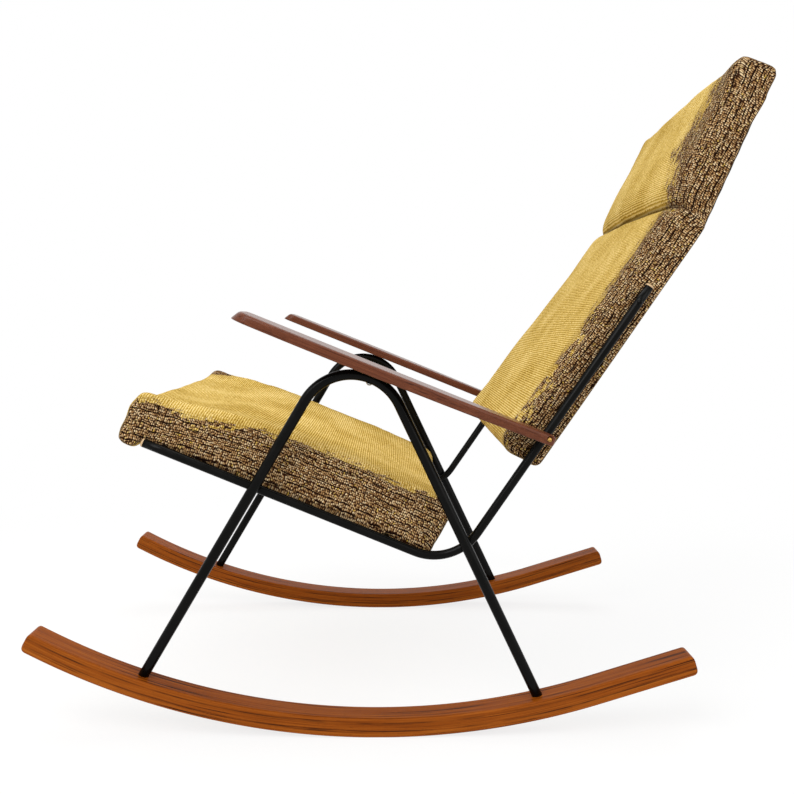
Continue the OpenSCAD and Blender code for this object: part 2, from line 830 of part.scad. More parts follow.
// Cross board between the stiles, cut to the hollow's outline at its place
module back_slat(at) {
  color("burlywood")
    in_back_frame()
      intersection() {
        hollow_slab(-frame_y + stile_t + fit, frame_y - stile_t - fit, strap_t + 2 * soft_fit, lining_t + soft_fit);
        translate([at, -frame_y, -2 * back_t])
          cube([stile_t, 2 * frame_y, 4 * back_t]);
      }
}

// Straps across the frame's front, which carry the padding
module back_straps() {
  color("saddlebrown")
    in_back_frame()
      for (i = [0:strap_count - 1])
        let (
          from = hollow_start + strap_w / 2,
          step = (seam_at - strap_w - from) / strap_count,
          at = from + i * step
        )
        intersection() {
          difference() {
            hollow_slab(-frame_y + 2 * soft_fit, frame_y - 2 * soft_fit, soft_fit, 0);
            hollow_slab(-frame_y - overrun, frame_y + overrun, strap_t + soft_fit, -overrun);
          }
          translate([at, -frame_y, 0])
            cube([min(strap_w, step * 0.8), 2 * frame_y, 2 * back_t]);
        }
}

// The back's padding and cover: open behind, where the frame goes in
module back_cushion() {
  color("darkkhaki")
    difference() {
      in_back_frame()
        difference() {
          cushion(back_outline, cushion_y, back_crowns);
          hollow_slab(-frame_y, frame_y, 0, -overrun);
        }
      for (side = [left, right], p = [arm_pin, rail_corner + upper_screw_u * heading(back_slope)])
        translate([p[0], side * (frame_y - overrun), p[1]])
          across(side)
            cylinder(d = screw_d + 4 * fit, h = side_pad + 2 * overrun, $fn = 16);
    }
}

// Lining that closes the back behind its frame
module back_lining() {
  color("black")
    in_back_frame()
      difference() {
        hollow_slab(-frame_y + soft_fit, frame_y - soft_fit, soft_fit, 0);
        hollow_slab(-frame_y - overrun, frame_y + overrun, -back_t, lining_t);
      }
}

runner(left);  // runner_left
runner(right);  // runner_right
leg_hoop(left);  // leg_hoop_left
leg_hoop(right);  // leg_hoop_right
side_rail(left);  // side_rail_left
side_rail(right);  // side_rail_right
crossbar(front_bar_at);  // front_crossbar
crossbar(rear_bar_at);  // rear_crossbar
arm(left);  // arm_left
arm(right);  // arm_right
foot_plugs();
runner_bolts();
rail_end_caps();
arm_crown_screws();
arm_back_screws();
back_upper_screws();
seat_board_screws();
seat_board();
seat_nose_rail();
seat_cushion();
back_stile(left);  // back_stile_left
back_stile(right);  // back_stile_right
back_slat(hollow_start + soft_fit);  // back_lower_slat
back_slat(seam_at - stile_t / 2);  // back_middle_slat
back_slat(hollow_end - stile_t - strap_t - soft_fit);  // back_top_slat
back_straps();
back_cushion();
back_lining();
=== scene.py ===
import math

import bpy
import numpy as np
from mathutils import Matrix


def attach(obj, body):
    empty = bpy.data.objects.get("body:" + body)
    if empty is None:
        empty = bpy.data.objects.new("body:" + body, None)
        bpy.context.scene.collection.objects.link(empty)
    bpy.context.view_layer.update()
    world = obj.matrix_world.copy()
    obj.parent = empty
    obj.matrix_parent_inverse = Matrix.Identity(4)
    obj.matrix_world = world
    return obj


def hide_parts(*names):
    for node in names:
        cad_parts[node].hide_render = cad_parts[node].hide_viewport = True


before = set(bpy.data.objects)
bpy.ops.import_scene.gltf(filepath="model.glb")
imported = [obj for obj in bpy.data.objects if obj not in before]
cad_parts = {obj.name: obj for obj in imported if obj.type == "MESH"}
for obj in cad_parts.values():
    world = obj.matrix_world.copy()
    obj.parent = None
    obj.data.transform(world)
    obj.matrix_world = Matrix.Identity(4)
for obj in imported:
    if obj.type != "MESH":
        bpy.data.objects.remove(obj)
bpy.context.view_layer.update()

# Rocking chair: a bent steel tube frame on laminated runners, with paddle arms and tweed upholstery.
# Metres, in the CAD's frame: the chair faces -X, Y = 0 is its middle plane and Z = 0 is the floor.

chair = {
    "sideY": 0.275,          # centre plane of the hoops and runners
    "railY": 0.2619,         # centre plane of the side rails
    "cushionY": 0.2544,      # half the width of both cushions
    "frameY": 0.2494,        # half the width of the back's wooden frame
    "railFront": (-0.31079, 0.38997), "seatSlope": 22.3,
    "railCorner": (0.1, 0.2215), "backSlope": 55.7,
}


# Numbers and meshes

def linearColour(code):
    # sRGB c to linear: c / 12.92 up to 0.04045, ((c + 0.055) / 1.055) ^ 2.4 over it
    srgb = np.array([int(code[i:i + 2], 16) for i in (1, 3, 5)]) / 255
    linear = np.where(srgb <= 0.04045, srgb / 12.92, ((srgb + 0.055) / 1.055) ** 2.4)
    return (*linear.tolist(), 1.0)


def heading(degrees):
    # Unit vector (cos a, sin a) in the XZ plane
    return np.array([math.cos(math.radians(degrees)), math.sin(math.radians(degrees))])


def softStep(low, high, x):
    # 0 below low, 1 over high, 3 t^2 - 2 t^3 between them
    t = np.clip((x - low) / (high - low), 0, 1)
    return t * t * (3 - 2 * t)


def roundedLoop(corners, steps=9):
    # Closed line through [x, y, r] corners: each becomes an arc about corner + bisector * r / sin(half angle)
    b = np.array([c[:2] for c in corners], float)
    r = np.array([c[2] for c in corners], float)[:, None]
    u, v = np.roll(b, 1, 0) - b, np.roll(b, -1, 0) - b
    u, v = u / np.linalg.norm(u, axis=1, keepdims=True), v / np.linalg.norm(v, axis=1, keepdims=True)
    half = np.arccos(np.clip((u * v).sum(1, keepdims=True), -1, 1)) / 2
    middle = u + v
    centre = b + middle / np.linalg.norm(middle, axis=1, keepdims=True) * r / np.sin(half)
    start = b + u * r / np.tan(half) - centre
    angle = np.arctan2(start[:, 1:], start[:, :1])
    turn = np.where(u[:, :1] * v[:, 1:] - u[:, 1:] * v[:, :1] < 0, 1, -1) * (math.pi - 2 * half)
    swing = angle + turn * np.linspace(0, 1, steps)
    return np.stack([centre[:, :1] + r * np.cos(swing), centre[:, 1:] + r * np.sin(swing)], -1).reshape(-1, 2)


def evenLoop(loop, step):
    # The same closed line with points at an even spacing along its length
    closed = np.vstack([loop, loop[:1]])
    length = np.concatenate([[0], np.cumsum(np.linalg.norm(np.diff(closed, axis=0), axis=1))])
    at = np.linspace(0, length[-1], int(round(length[-1] / step)) + 1)[:-1]
    return np.stack([np.interp(at, length, closed[:, k]) for k in (0, 1)], -1)


def loopNormals(loop):
    # Outward normals of a clockwise closed line: its central difference turned a quarter to the left
    along = np.roll(loop, -1, 0) - np.roll(loop, 1, 0)
    along /= np.linalg.norm(along, axis=1, keepdims=True)
    return np.stack([-along[:, 1], along[:, 0]], -1)


def fullTurn(steps):
    # Even angles round a circle
    return np.linspace(0, 2 * math.pi, steps, endpoint=False)


def gridFaces(rows, columns, closed):
    # Quads between the neighbouring lines of a grid. A closed one also joins its last column to its first
    i, j = np.meshgrid(np.arange(rows - 1), np.arange(columns if closed else columns - 1), indexing="ij")
    k = (j + 1) % columns
    quads = np.stack([i * columns + j, i * columns + k, (i + 1) * columns + k, (i + 1) * columns + j], -1)
    return quads.reshape(-1, 4).tolist()


def addPiece(name, points, faces, material):
    # A smooth mesh of its own, which rides on the chair
    mesh = bpy.data.meshes.new(name)
    mesh.from_pydata(points.reshape(-1, 3).tolist(), [], faces)
    mesh.materials.append(material)
    mesh.shade_smooth()
    piece = bpy.data.objects.new(name, mesh)
    bpy.context.scene.collection.objects.link(piece)
    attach(piece, "root")
    return piece


def newPiece(name, rings, material):
    # A stack of rings, shape (rows, columns, 3), skinned with quads and closed by a face at either end
    rows, columns = rings.shape[:2]
    ends = [list(range(columns))[::-1], list(range((rows - 1) * columns, rows * columns))]
    piece = addPiece(name, rings, gridFaces(rows, columns, True) + ends, material)
    outwards(piece.data)
    return piece


def newSheet(name, rows, material):
    # An open grid of points, shape (rows, columns, 3), skinned with quads
    return addPiece(name, rows, gridFaces(*rows.shape[:2], False), material)


def readPoints(mesh):
    flat = np.empty(len(mesh.vertices) * 3, np.float32)
    mesh.vertices.foreach_get("co", flat)
    return flat.reshape(-1, 3).astype(float)


def writePoints(mesh, points):
    mesh.vertices.foreach_set("co", points.astype(np.float32).ravel())
    mesh.update()


def outwards(mesh):
    # Twice the signed volume, as the sum of c . (a x b) over the faces' triangles, is negative inside out
    mesh.calc_loop_triangles()
    corners = np.empty(len(mesh.loop_triangles) * 3, np.int32)
    mesh.loop_triangles.foreach_get("vertices", corners)
    a, b, c = readPoints(mesh)[corners.reshape(-1, 3)].transpose(1, 0, 2)
    if (np.cross(a, b) * c).sum() < 0:
        mesh.flip_normals()


def writePlace(mesh, name, values):
    # A vector for each vertex, which a material reads as an attribute
    place = mesh.attributes.get(name) or mesh.attributes.new(name, "FLOAT_VECTOR", "POINT")
    place.data.foreach_set("vector", values.astype(np.float32).ravel())


def settle(piece):
    # The piece's modifiers are applied to its mesh
    graph = bpy.context.evaluated_depsgraph_get()
    mesh = bpy.data.meshes.new_from_object(piece.evaluated_get(graph))
    piece.modifiers.clear()
    piece.data = mesh


def cutAway(piece, cutters):
    # Each cutter is a stack of rings, taken out of the piece
    for rings in cutters:
        cutter = newPiece("cutter", rings, piece.data.materials[0])
        cut = piece.modifiers.new("cut", "BOOLEAN")
        cut.solver, cut.operation, cut.object = "EXACT", "DIFFERENCE", cutter
        settle(piece)
        bpy.data.objects.remove(cutter)


def toWorld(points, origin, degrees):
    # (u, y, w) to the chair's frame: u runs from origin along heading(degrees), and w a quarter turn on
    along, over = heading(degrees), heading(degrees + 90)
    return np.stack([
        origin[0] + points[..., 0] * along[0] + points[..., 2] * over[0],
        points[..., 1],
        origin[1] + points[..., 0] * along[1] + points[..., 2] * over[1],
    ], -1)


def toFrame(points, origin, degrees):
    # The inverse of toWorld
    along, over = heading(degrees), heading(degrees + 90)
    x, z = points[..., 0] - origin[0], points[..., 2] - origin[1]
    return np.stack([x * along[0] + z * along[1], points[..., 1], x * over[0] + z * over[1]], -1)


# Nodes

def addNode(tree, kind, settings, output=0):
    # Adds a node and returns one of its outputs. A capitalised or numbered key is an input, "stops" are a
    # colour ramp's [(position, hex), ...], any other key is a property. A value that is an output is linked
    made = tree.nodes.new(kind)
    for key, value in settings.items():
        if key == "stops":
            while len(made.color_ramp.elements) < len(value):
                made.color_ramp.elements.new(0.5)
            for element, (position, code) in zip(made.color_ramp.elements, value):
                element.position, element.color = position, linearColour(code)
        elif isinstance(key, str) and key[0].islower():
            setattr(made, key, value)
        elif isinstance(value, bpy.types.NodeSocket):
            tree.links.new(value, made.inputs[key])
        else:
            made.inputs[key].default_value = value
    return made.outputs[output] if len(made.outputs) else made


def startMaterial(name):
    material = bpy.data.materials.new(name)
    material.use_nodes = True
    material.node_tree.nodes.clear()
    return material, material.node_tree


def endMaterial(tree, settings):
    shader = addNode(tree, "ShaderNodeBsdfPrincipled", settings)
    addNode(tree, "ShaderNodeOutputMaterial", {"Surface": shader})


# Materials

paint = {"tones": [(0.4, "#050504"), (0.8, "#0C0B0A")], "roughness": 0.24, "specular": 0.08,
         "peelMm": 2.5, "peelDepthMm": 0.012, "dustMm": 28.57}


def makeEnamel():
    # Stoved black enamel on steel tube: deep black, a clear highlight with a faint orange peel,
    # and a little dust that dulls it
    material, tree = startMaterial("Gloss black enamel")
    place = addNode(tree, "ShaderNodeTexCoord", {}, "Object")
    peel = addNode(tree, "ShaderNodeTexNoise", {
        "Vector": place, "Scale": 1000 / paint["peelMm"], "Detail": 2})
    dust = addNode(tree, "ShaderNodeTexNoise", {
        "Vector": place, "Scale": 1000 / paint["dustMm"], "Detail": 5, "Roughness": 0.65})
    dull = addNode(tree, "ShaderNodeMapRange", {
        "Value": dust, "From Min": 0.35, "From Max": 0.75,
        "To Min": paint["roughness"] - 0.05, "To Max": paint["roughness"] + 0.16})
    colour = addNode(tree, "ShaderNodeValToRGB", {"Fac": dust, "stops": paint["tones"]})
    relief = addNode(tree, "ShaderNodeBump", {
        "Height": peel, "Strength": 1, "Distance": paint["peelDepthMm"] / 1000})
    endMaterial(tree, {
        "Base Color": colour, "Roughness": dull, "Normal": relief, "Specular IOR Level": paint["specular"]})
    return material


# Three sizes in millimetres are a length, a width and a height. Pores are drawn coarser than real ones,
# so that they show
runnerWood = {
    "layersMm": (9, 19.5),          # glue lines over the underside
    "glueMm": 0.55, "glueGapsMm": (60, 30, 30), "boardShift": 0.06, "boardEdgeMm": 0.3,
    "tones": [(0.2, "#5A2603"), (0.42, "#803E08"), (0.58, "#955013"), (0.85, "#AE6A2A")], "dark": "#2E1203",
    "streakMm": (170, 3.2, 1.7), "streak": {"Detail": 5, "Roughness": 0.6, "Distortion": 0.35},
    "fineMm": (45, 0.9, 0.7), "fineShare": 0.3, "poreMm": (9, 0.5, 0.5),
    "vein": (0.42, 0.34, 1.0), "pit": (0.36, 0.3, 0.5),
    "roughness": (0.34, 0.52), "specular": 0.07, "reliefMm": 0.4,
}
armWood = {
    "tones": [(0.2, "#3D1C10"), (0.42, "#532A18"), (0.6, "#653722"), (0.85, "#7B4B32")], "dark": "#2A1008",
    "streakMm": (190, 4.5, 2.2), "streak": {"Detail": 5, "Roughness": 0.62, "Distortion": 0.5},
    "fineMm": (38, 0.8, 0.8), "fineShare": 0.34, "poreMm": (7, 0.45, 0.45),
    "vein": (0.4, 0.32, 0.8), "pit": (0.37, 0.3, 0.6),
    "roughness": (0.2, 0.34), "specular": 0.15, "reliefMm": 0.4,
}


def grainTexture(tree, place, sizes, settings):
    # Noise whose cells have the given length, width and height in millimetres
    scaled = addNode(tree, "ShaderNodeMapping", {
        "vector_type": "POINT", "Vector": place, "Scale": tuple(1000 / s for s in sizes)})
    return addNode(tree, "ShaderNodeTexNoise", {"Vector": scaled, "Scale": 1, **settings})


def startWood(tree, wood):
    # Place along, across and over the board, long streaks, short fine ones, and a blend of the two
    place = addNode(tree, "ShaderNodeAttribute", {"attribute_name": "grainPlace"}, "Vector")
    streaks = grainTexture(tree, place, wood["streakMm"], wood["streak"])
    fine = grainTexture(tree, place, wood["fineMm"], {"Detail": 3, "Roughness": 0.6})
    blend = addNode(tree, "ShaderNodeMix", {"data_type": "FLOAT", 0: wood["fineShare"], 2: streaks, 3: fine})
    return place, streaks, fine, blend


def endWood(tree, wood, grain, tone, marks):
    # The tone becomes a colour, darkened by the marks, by veins where the streaks are low, and by the
    # pits of the pores. The relief follows the blend and the sheen the fine streaks
    place, streaks, fine, blend = grain
    colour = addNode(tree, "ShaderNodeValToRGB", {"Fac": tone, "stops": wood["tones"]})
    pores = grainTexture(tree, place, wood["poreMm"], {"Detail": 2})
    for pattern, (none, full, share) in ((streaks, wood["vein"]), (pores, wood["pit"])):
        marks = [*marks, addNode(tree, "ShaderNodeMapRange", {
            "Value": pattern, "From Min": none, "From Max": full, "To Max": share})]
    for mark in marks:
        colour = addNode(tree, "ShaderNodeMix", {
            "data_type": "RGBA", 0: mark, 6: colour, 7: linearColour(wood["dark"])}, 2)
    relief = addNode(tree, "ShaderNodeBump", {
        "Height": blend, "Strength": 0.5, "Distance": wood["reliefMm"] / 1000})
    sheen = addNode(tree, "ShaderNodeMapRange", {
        "Value": fine, "To Min": wood["roughness"][0], "To Max": wood["roughness"][1]})
    endMaterial(tree, {
        "Base Color": colour, "Roughness": sheen, "Normal": relief, "Specular IOR Level": wood["specular"]})


def makeRunnerWood():
    # Beech laminated in three layers and stained, under satin lacquer: long streaks that follow the bend,
    # and dark glue lines along the sides, broken here and there
    material, tree = startMaterial("Stained laminated beech, satin lacquer")
    grain = startWood(tree, runnerWood)
    height = addNode(tree, "ShaderNodeSeparateXYZ", {"Vector": grain[0]}).node.outputs[2]
    # The tone steps at the lowest glue line: the bottom layer is cut from another board than the two over it
    lowest, shift = runnerWood["layersMm"][0], runnerWood["boardEdgeMm"]
    layer = addNode(tree, "ShaderNodeMapRange", {
        "interpolation_type": "SMOOTHERSTEP", "Value": height, "From Min": (lowest - shift) / 1000,
        "From Max": (lowest + shift) / 1000, "To Min": 0.0, "To Max": -runnerWood["boardShift"]})
    toned = addNode(tree, "ShaderNodeMath", {"operation": "ADD", 0: grain[3], 1: layer})
    glue = runnerWood["glueMm"] / 1000
    lines = 0.0
    for layerMm in runnerWood["layersMm"]:
        away = addNode(tree, "ShaderNodeMath", {"operation": "SUBTRACT", 0: height, 1: layerMm / 1000})
        away = addNode(tree, "ShaderNodeMath", {"operation": "ABSOLUTE", 0: away})
        line = addNode(tree, "ShaderNodeMapRange", {
            "Value": away, "From Min": glue, "From Max": 2.2 * glue, "To Min": 0.8, "To Max": 0.0})
        lines = addNode(tree, "ShaderNodeMath", {"operation": "MAXIMUM", 0: lines, 1: line})
    broken = grainTexture(tree, grain[0], runnerWood["glueGapsMm"], {"Detail": 2})
    broken = addNode(tree, "ShaderNodeMapRange", {"Value": broken, "From Min": 0.35, "From Max": 0.6})
    lines = addNode(tree, "ShaderNodeMath", {"operation": "MULTIPLY", 0: lines, 1: broken})
    endWood(tree, runnerWood, grain, toned, [lines])
    return material


def makeArmWood():
    # Oiled teak: reddish brown with long dark streaks and short open pores, and a soft shine
    material, tree = startMaterial("Oiled teak")
    grain = startWood(tree, armWood)
    endWood(tree, armWood, grain, grain[3], [])
    return material


tweed = {
    "ribMm": 3.4,                  # pitch of the ribs across the yellow part
    "knotMm": (2.5, 3.7),          # pitch of the knots along and across the dark part
    "dashMm": (24, 9.2, 2.2),      # length, spacing and thickness of the dark threads
    "wanderMm": 16.667, "wanderBy": 0.005, "loopMm": 3.846, "patchMm": 25, "shadeMm": 90.9,
    "yellow": [(0.2, "#7C5D1A"), (0.4, "#AF8E3A"), (0.56, "#CAAB59"), (0.8, "#E8D092")],
    "knots": [(0.1, "#9A7448"), (0.4, "#BC9767"), (0.7, "#D3B285"), (0.9, "#E6CDA2"), (1.0, "#BF9C40")],
    "ground": "#2C1508", "yellowGround": "#6E4E16", "dash": "#120502",
    "showing": (-0.035, 0.004),    # where the yellow's knots begin to show, and where most do
    "seam": (0.0006, 0.0045),      # half the width of the seam's thread, and of the painted shadow of its crease
    "reliefMm": 1, "roughness": 0.93, "specular": 0.04,
}


def darkTweed(tree, flat, spot, dashCells):
    # Knots are the rounded cells of a Voronoi pattern, each with its own tone, some sunk and some worn.
    # Dark threads along the length are the joints of a brick bond with endless bricks, broken into dashes
    cells = addNode(tree, "ShaderNodeMapping", {
        "vector_type": "POINT", "Vector": flat, "Scale": (*(1000 / mm for mm in tweed["knotMm"]), 1)})
    knots = addNode(tree, "ShaderNodeTexVoronoi", {
        "voronoi_dimensions": "2D", "feature": "F1", "Vector": cells, "Scale": 1,
        "Randomness": 0.5}, "Distance")
    chance = addNode(tree, "ShaderNodeSeparateColor", {"Color": knots.node.outputs["Color"]}).node.outputs
    knot = addNode(tree, "ShaderNodeMapRange", {
        "interpolation_type": "SMOOTHSTEP", "Value": knots, "From Min": 0.52, "From Max": 0.18})
    tone = addNode(tree, "ShaderNodeValToRGB", {"Fac": chance[0], "stops": tweed["knots"]})
    patches = addNode(tree, "ShaderNodeTexNoise", {
        "Vector": spot, "Scale": 1000 / tweed["patchMm"], "Detail": 3, "Roughness": 0.6})
    worn = addNode(tree, "ShaderNodeMapRange", {
        "Value": patches, "From Min": 0.3, "From Max": 0.6, "To Min": 0.8})
    sunk = addNode(tree, "ShaderNodeMapRange", {
        "Value": chance[1], "From Min": 0.0, "From Max": 0.22, "To Min": 0.5})
    share = addNode(tree, "ShaderNodeMath", {"operation": "MULTIPLY", 0: knot, 1: worn})
    share = addNode(tree, "ShaderNodeMath", {"operation": "MULTIPLY", 0: share, 1: sunk})
    colour = addNode(tree, "ShaderNodeMix", {
        "data_type": "RGBA", 0: share, 6: linearColour(tweed["ground"]), 7: tone}, 2)
    bond = addNode(tree, "ShaderNodeTexBrick", {
        "Vector": flat, "Scale": 1, "Mortar Size": tweed["dashMm"][2] / 2000, "Mortar Smooth": 0.4,
        "Brick Width": 9, "Row Height": tweed["dashMm"][1] / 1000}, "Fac")
    gaps = addNode(tree, "ShaderNodeTexNoise", {
        "noise_dimensions": "2D", "Vector": dashCells, "Scale": 1.3, "Detail": 1})
    gaps = addNode(tree, "ShaderNodeMapRange", {"Value": gaps, "From Min": 0.44, "From Max": 0.5})
    dashes = addNode(tree, "ShaderNodeMath", {"operation": "MULTIPLY", 0: bond, 1: gaps})
    colour = addNode(tree, "ShaderNodeMix", {
        "data_type": "RGBA", 0: dashes, 6: colour, 7: linearColour(tweed["dash"])}, 2)
    return colour, knot, dashes, chance[2]


def yellowTweed(tree, length, spot, knot, beyond):
    # Ribs are sines along the length, bent and broken by the loops of the yarn, on slow shades. Near the
    # dark part the ground between the knots shows too
    turns = addNode(tree, "ShaderNodeMath", {
        "operation": "MULTIPLY", 0: length, 1: 2 * math.pi * 1000 / tweed["ribMm"]})
    loops = addNode(tree, "ShaderNodeTexNoise", {
        "Vector": spot, "Scale": 1000 / tweed["loopMm"], "Detail": 2, "Roughness": 0.7})
    bent = addNode(tree, "ShaderNodeMapRange", {"Value": loops, "To Min": -3.2, "To Max": 3.2})
    turns = addNode(tree, "ShaderNodeMath", {"operation": "ADD", 0: turns, 1: bent})
    rib = addNode(tree, "ShaderNodeMath", {"operation": "SINE", 0: turns})
    rib = addNode(tree, "ShaderNodeMapRange", {"Value": rib, "From Min": -1, "From Max": 1})
    yarn = addNode(tree, "ShaderNodeMix", {"data_type": "FLOAT", 0: 0.62, 2: rib, 3: loops})
    shade = addNode(tree, "ShaderNodeTexNoise", {
        "Vector": spot, "Scale": 1000 / tweed["shadeMm"], "Detail": 4, "Roughness": 0.6})
    shade = addNode(tree, "ShaderNodeMapRange", {
        "Value": shade, "From Min": 0.3, "From Max": 0.7, "To Min": -0.1, "To Max": 0.1})
    tone = addNode(tree, "ShaderNodeMath", {"operation": "ADD", 0: yarn, 1: shade})
    colour = addNode(tree, "ShaderNodeValToRGB", {"Fac": tone, "stops": tweed["yellow"]})
    between = addNode(tree, "ShaderNodeMapRange", {"Value": knot, "From Min": 0.5, "From Max": 0})
    showing = addNode(tree, "ShaderNodeMapRange", {
        "Value": beyond, "From Min": tweed["showing"][0], "From Max": tweed["showing"][1], "To Max": 0.7})
    between = addNode(tree, "ShaderNodeMath", {"operation": "MULTIPLY", 0: between, 1: showing})
    colour = addNode(tree, "ShaderNodeMix", {
        "data_type": "RGBA", 0: between, 6: colour, 7: linearColour(tweed["yellowGround"])}, 2)
    return colour, yarn


def makeTweed():
    # Wool tweed woven with a yellow middle and dark selvedges: fine ribs cross the yellow, and beige knots
    # on a dark ground with loose dark threads along the length cover the sides. It is matt.
    # clothPlace is length, width and length for the ribs, and clothEdge is how far beyond the yellow the
    # point lies, how ragged the line is there, and the distance from a seam
    material, tree = startMaterial("Woven wool tweed")
    place = addNode(tree, "ShaderNodeAttribute", {"attribute_name": "clothPlace"}, "Vector")
    parts = addNode(tree, "ShaderNodeSeparateXYZ", {"Vector": place}).node.outputs
    edge = addNode(tree, "ShaderNodeAttribute", {"attribute_name": "clothEdge"}, "Vector")
    beyond, ragged, fromSeam = addNode(tree, "ShaderNodeSeparateXYZ", {"Vector": edge}).node.outputs
    spot = addNode(tree, "ShaderNodeTexCoord", {}, "Object")
    # Threads wander a little
    wander = addNode(tree, "ShaderNodeTexNoise", {
        "Vector": spot, "Scale": 1000 / tweed["wanderMm"], "Detail": 2}, "Color")
    wander = addNode(tree, "ShaderNodeVectorMath", {"operation": "SUBTRACT", 0: wander, 1: (0.5, 0.5, 0.5)})
    wander = addNode(tree, "ShaderNodeVectorMath", {
        "operation": "SCALE", 0: wander, "Scale": tweed["wanderBy"]})
    flat = addNode(tree, "ShaderNodeCombineXYZ", {"X": parts[0], "Y": parts[1]})
    flat = addNode(tree, "ShaderNodeVectorMath", {"operation": "ADD", 0: flat, 1: wander})
    dashCells = addNode(tree, "ShaderNodeMapping", {
        "vector_type": "POINT", "Vector": flat, "Scale": (*(1000 / mm for mm in tweed["dashMm"][:2]), 1)})
    dark, knot, dashes, single = darkTweed(tree, flat, spot, dashCells)
    light, yarn = yellowTweed(tree, parts[2], spot, knot, beyond)
    # The two parts meet in a ragged line that steps from row to row, and here and there by one knot
    steps = addNode(tree, "ShaderNodeTexNoise", {
        "noise_dimensions": "2D", "Vector": dashCells, "Scale": 0.8, "Detail": 2, "Roughness": 0.6})
    steps = addNode(tree, "ShaderNodeMapRange", {
        "Value": steps, "From Min": 0.25, "From Max": 0.75, "To Min": -0.8, "To Max": 0.8})
    single = addNode(tree, "ShaderNodeMath", {"operation": "SUBTRACT", 0: single, 1: 0.5})
    steps = addNode(tree, "ShaderNodeMath", {"operation": "MULTIPLY_ADD", 0: single, 1: 0.5, 2: steps})
    steps = addNode(tree, "ShaderNodeMath", {"operation": "MULTIPLY", 0: steps, 1: ragged})
    away = addNode(tree, "ShaderNodeMath", {"operation": "ADD", 0: beyond, 1: steps})
    side = addNode(tree, "ShaderNodeMapRange", {"Value": away, "From Min": -0.001, "From Max": 0.001})
    colour = addNode(tree, "ShaderNodeMix", {"data_type": "RGBA", 0: side, 6: light, 7: dark}, 2)
    # The thread of the headrest's seam lies dark in its crease, and a painted shade of the crease fades out
    # over a few millimetres round it
    seam = addNode(tree, "ShaderNodeMapRange", {
        "interpolation_type": "SMOOTHSTEP", "Value": fromSeam, "From Min": tweed["seam"][0],
        "From Max": tweed["seam"][1], "To Min": 0.7, "To Max": 0})
    colour = addNode(tree, "ShaderNodeMix", {
        "data_type": "RGBA", 0: seam, 6: colour, 7: linearColour(tweed["ground"])}, 2)
    raised = addNode(tree, "ShaderNodeMath", {"operation": "SUBTRACT", 0: knot, 1: dashes})
    raised = addNode(tree, "ShaderNodeMath", {"operation": "MULTIPLY", 0: raised, 1: 0.4})
    flatter = addNode(tree, "ShaderNodeMath", {"operation": "MULTIPLY", 0: yarn, 1: 0.5})
    height = addNode(tree, "ShaderNodeMix", {"data_type": "FLOAT", 0: side, 2: flatter, 3: raised})
    relief = addNode(tree, "ShaderNodeBump", {
        "Height": height, "Strength": 0.9, "Distance": tweed["reliefMm"] / 1000})
    endMaterial(tree, {"Base Color": colour, "Roughness": tweed["roughness"], "Normal": relief,
                       "Specular IOR Level": tweed["specular"]})
    return material


metals = {
    "zinc": {"name": "Zinc plated steel", "tones": [(0.3, "#9EA0A0"), (0.7, "#C9CBCA")], "roughness": 0.34},
    "brass": {"name": "Tarnished brass", "tones": [(0.3, "#8E6A34"), (0.7, "#CDA35C")], "roughness": 0.33},
    "marksMm": 0.8, "reliefMm": 0.1,
}


def makeMetal(metal):
    # Turned metal: a plain reflective skin with turning marks, drawn coarser than real ones so that they
    # show, and a little tarnish
    material, tree = startMaterial(metal["name"])
    place = addNode(tree, "ShaderNodeTexCoord", {}, "Object")
    marks = addNode(tree, "ShaderNodeTexNoise", {
        "Vector": place, "Scale": 1000 / metals["marksMm"], "Detail": 3})
    dull = addNode(tree, "ShaderNodeMapRange", {
        "Value": marks, "To Min": metal["roughness"] - 0.08, "To Max": metal["roughness"] + 0.2})
    tint = addNode(tree, "ShaderNodeValToRGB", {"Fac": marks, "stops": metal["tones"]})
    relief = addNode(tree, "ShaderNodeBump", {
        "Height": marks, "Strength": 0.4, "Distance": metals["reliefMm"] / 1000})
    endMaterial(tree, {"Base Color": tint, "Metallic": 1.0, "Roughness": dull, "Normal": relief})
    return material


innerWood = {"ringsMm": (9, 260, 14), "tones": [(0.3, "#B98E5C"), (0.55, "#CFA873"), (0.75, "#DDBE8E")],
             "roughness": 0.72, "reliefMm": 0.5}


def makeInnerWood():
    # Planed pine of the hidden frames: pale, dry and matt, with soft rings
    material, tree = startMaterial("Planed pine")
    place = addNode(tree, "ShaderNodeTexCoord", {}, "Object")
    rings = grainTexture(tree, place, innerWood["ringsMm"], {"Detail": 4, "Roughness": 0.6})
    colour = addNode(tree, "ShaderNodeValToRGB", {"Fac": rings, "stops": innerWood["tones"]})
    relief = addNode(tree, "ShaderNodeBump", {
        "Height": rings, "Strength": 0.4, "Distance": innerWood["reliefMm"] / 1000})
    endMaterial(tree, {"Base Color": colour, "Roughness": innerWood["roughness"], "Normal": relief})
    return material


cloths = {
    "webbing": {"name": "Jute webbing", "tones": [(0.25, "#6E5230"), (0.75, "#A98755")],
                "threadMm": 2.2, "roughness": 0.9},
    "lining": {"name": "Brown cotton lining", "tones": [(0.25, "#1E1712"), (0.75, "#3A2E24")],
               "threadMm": 1.6, "roughness": 0.92},
    "fuzzMm": 2.5, "reliefMm": 0.6, "sheen": 0.2,
}


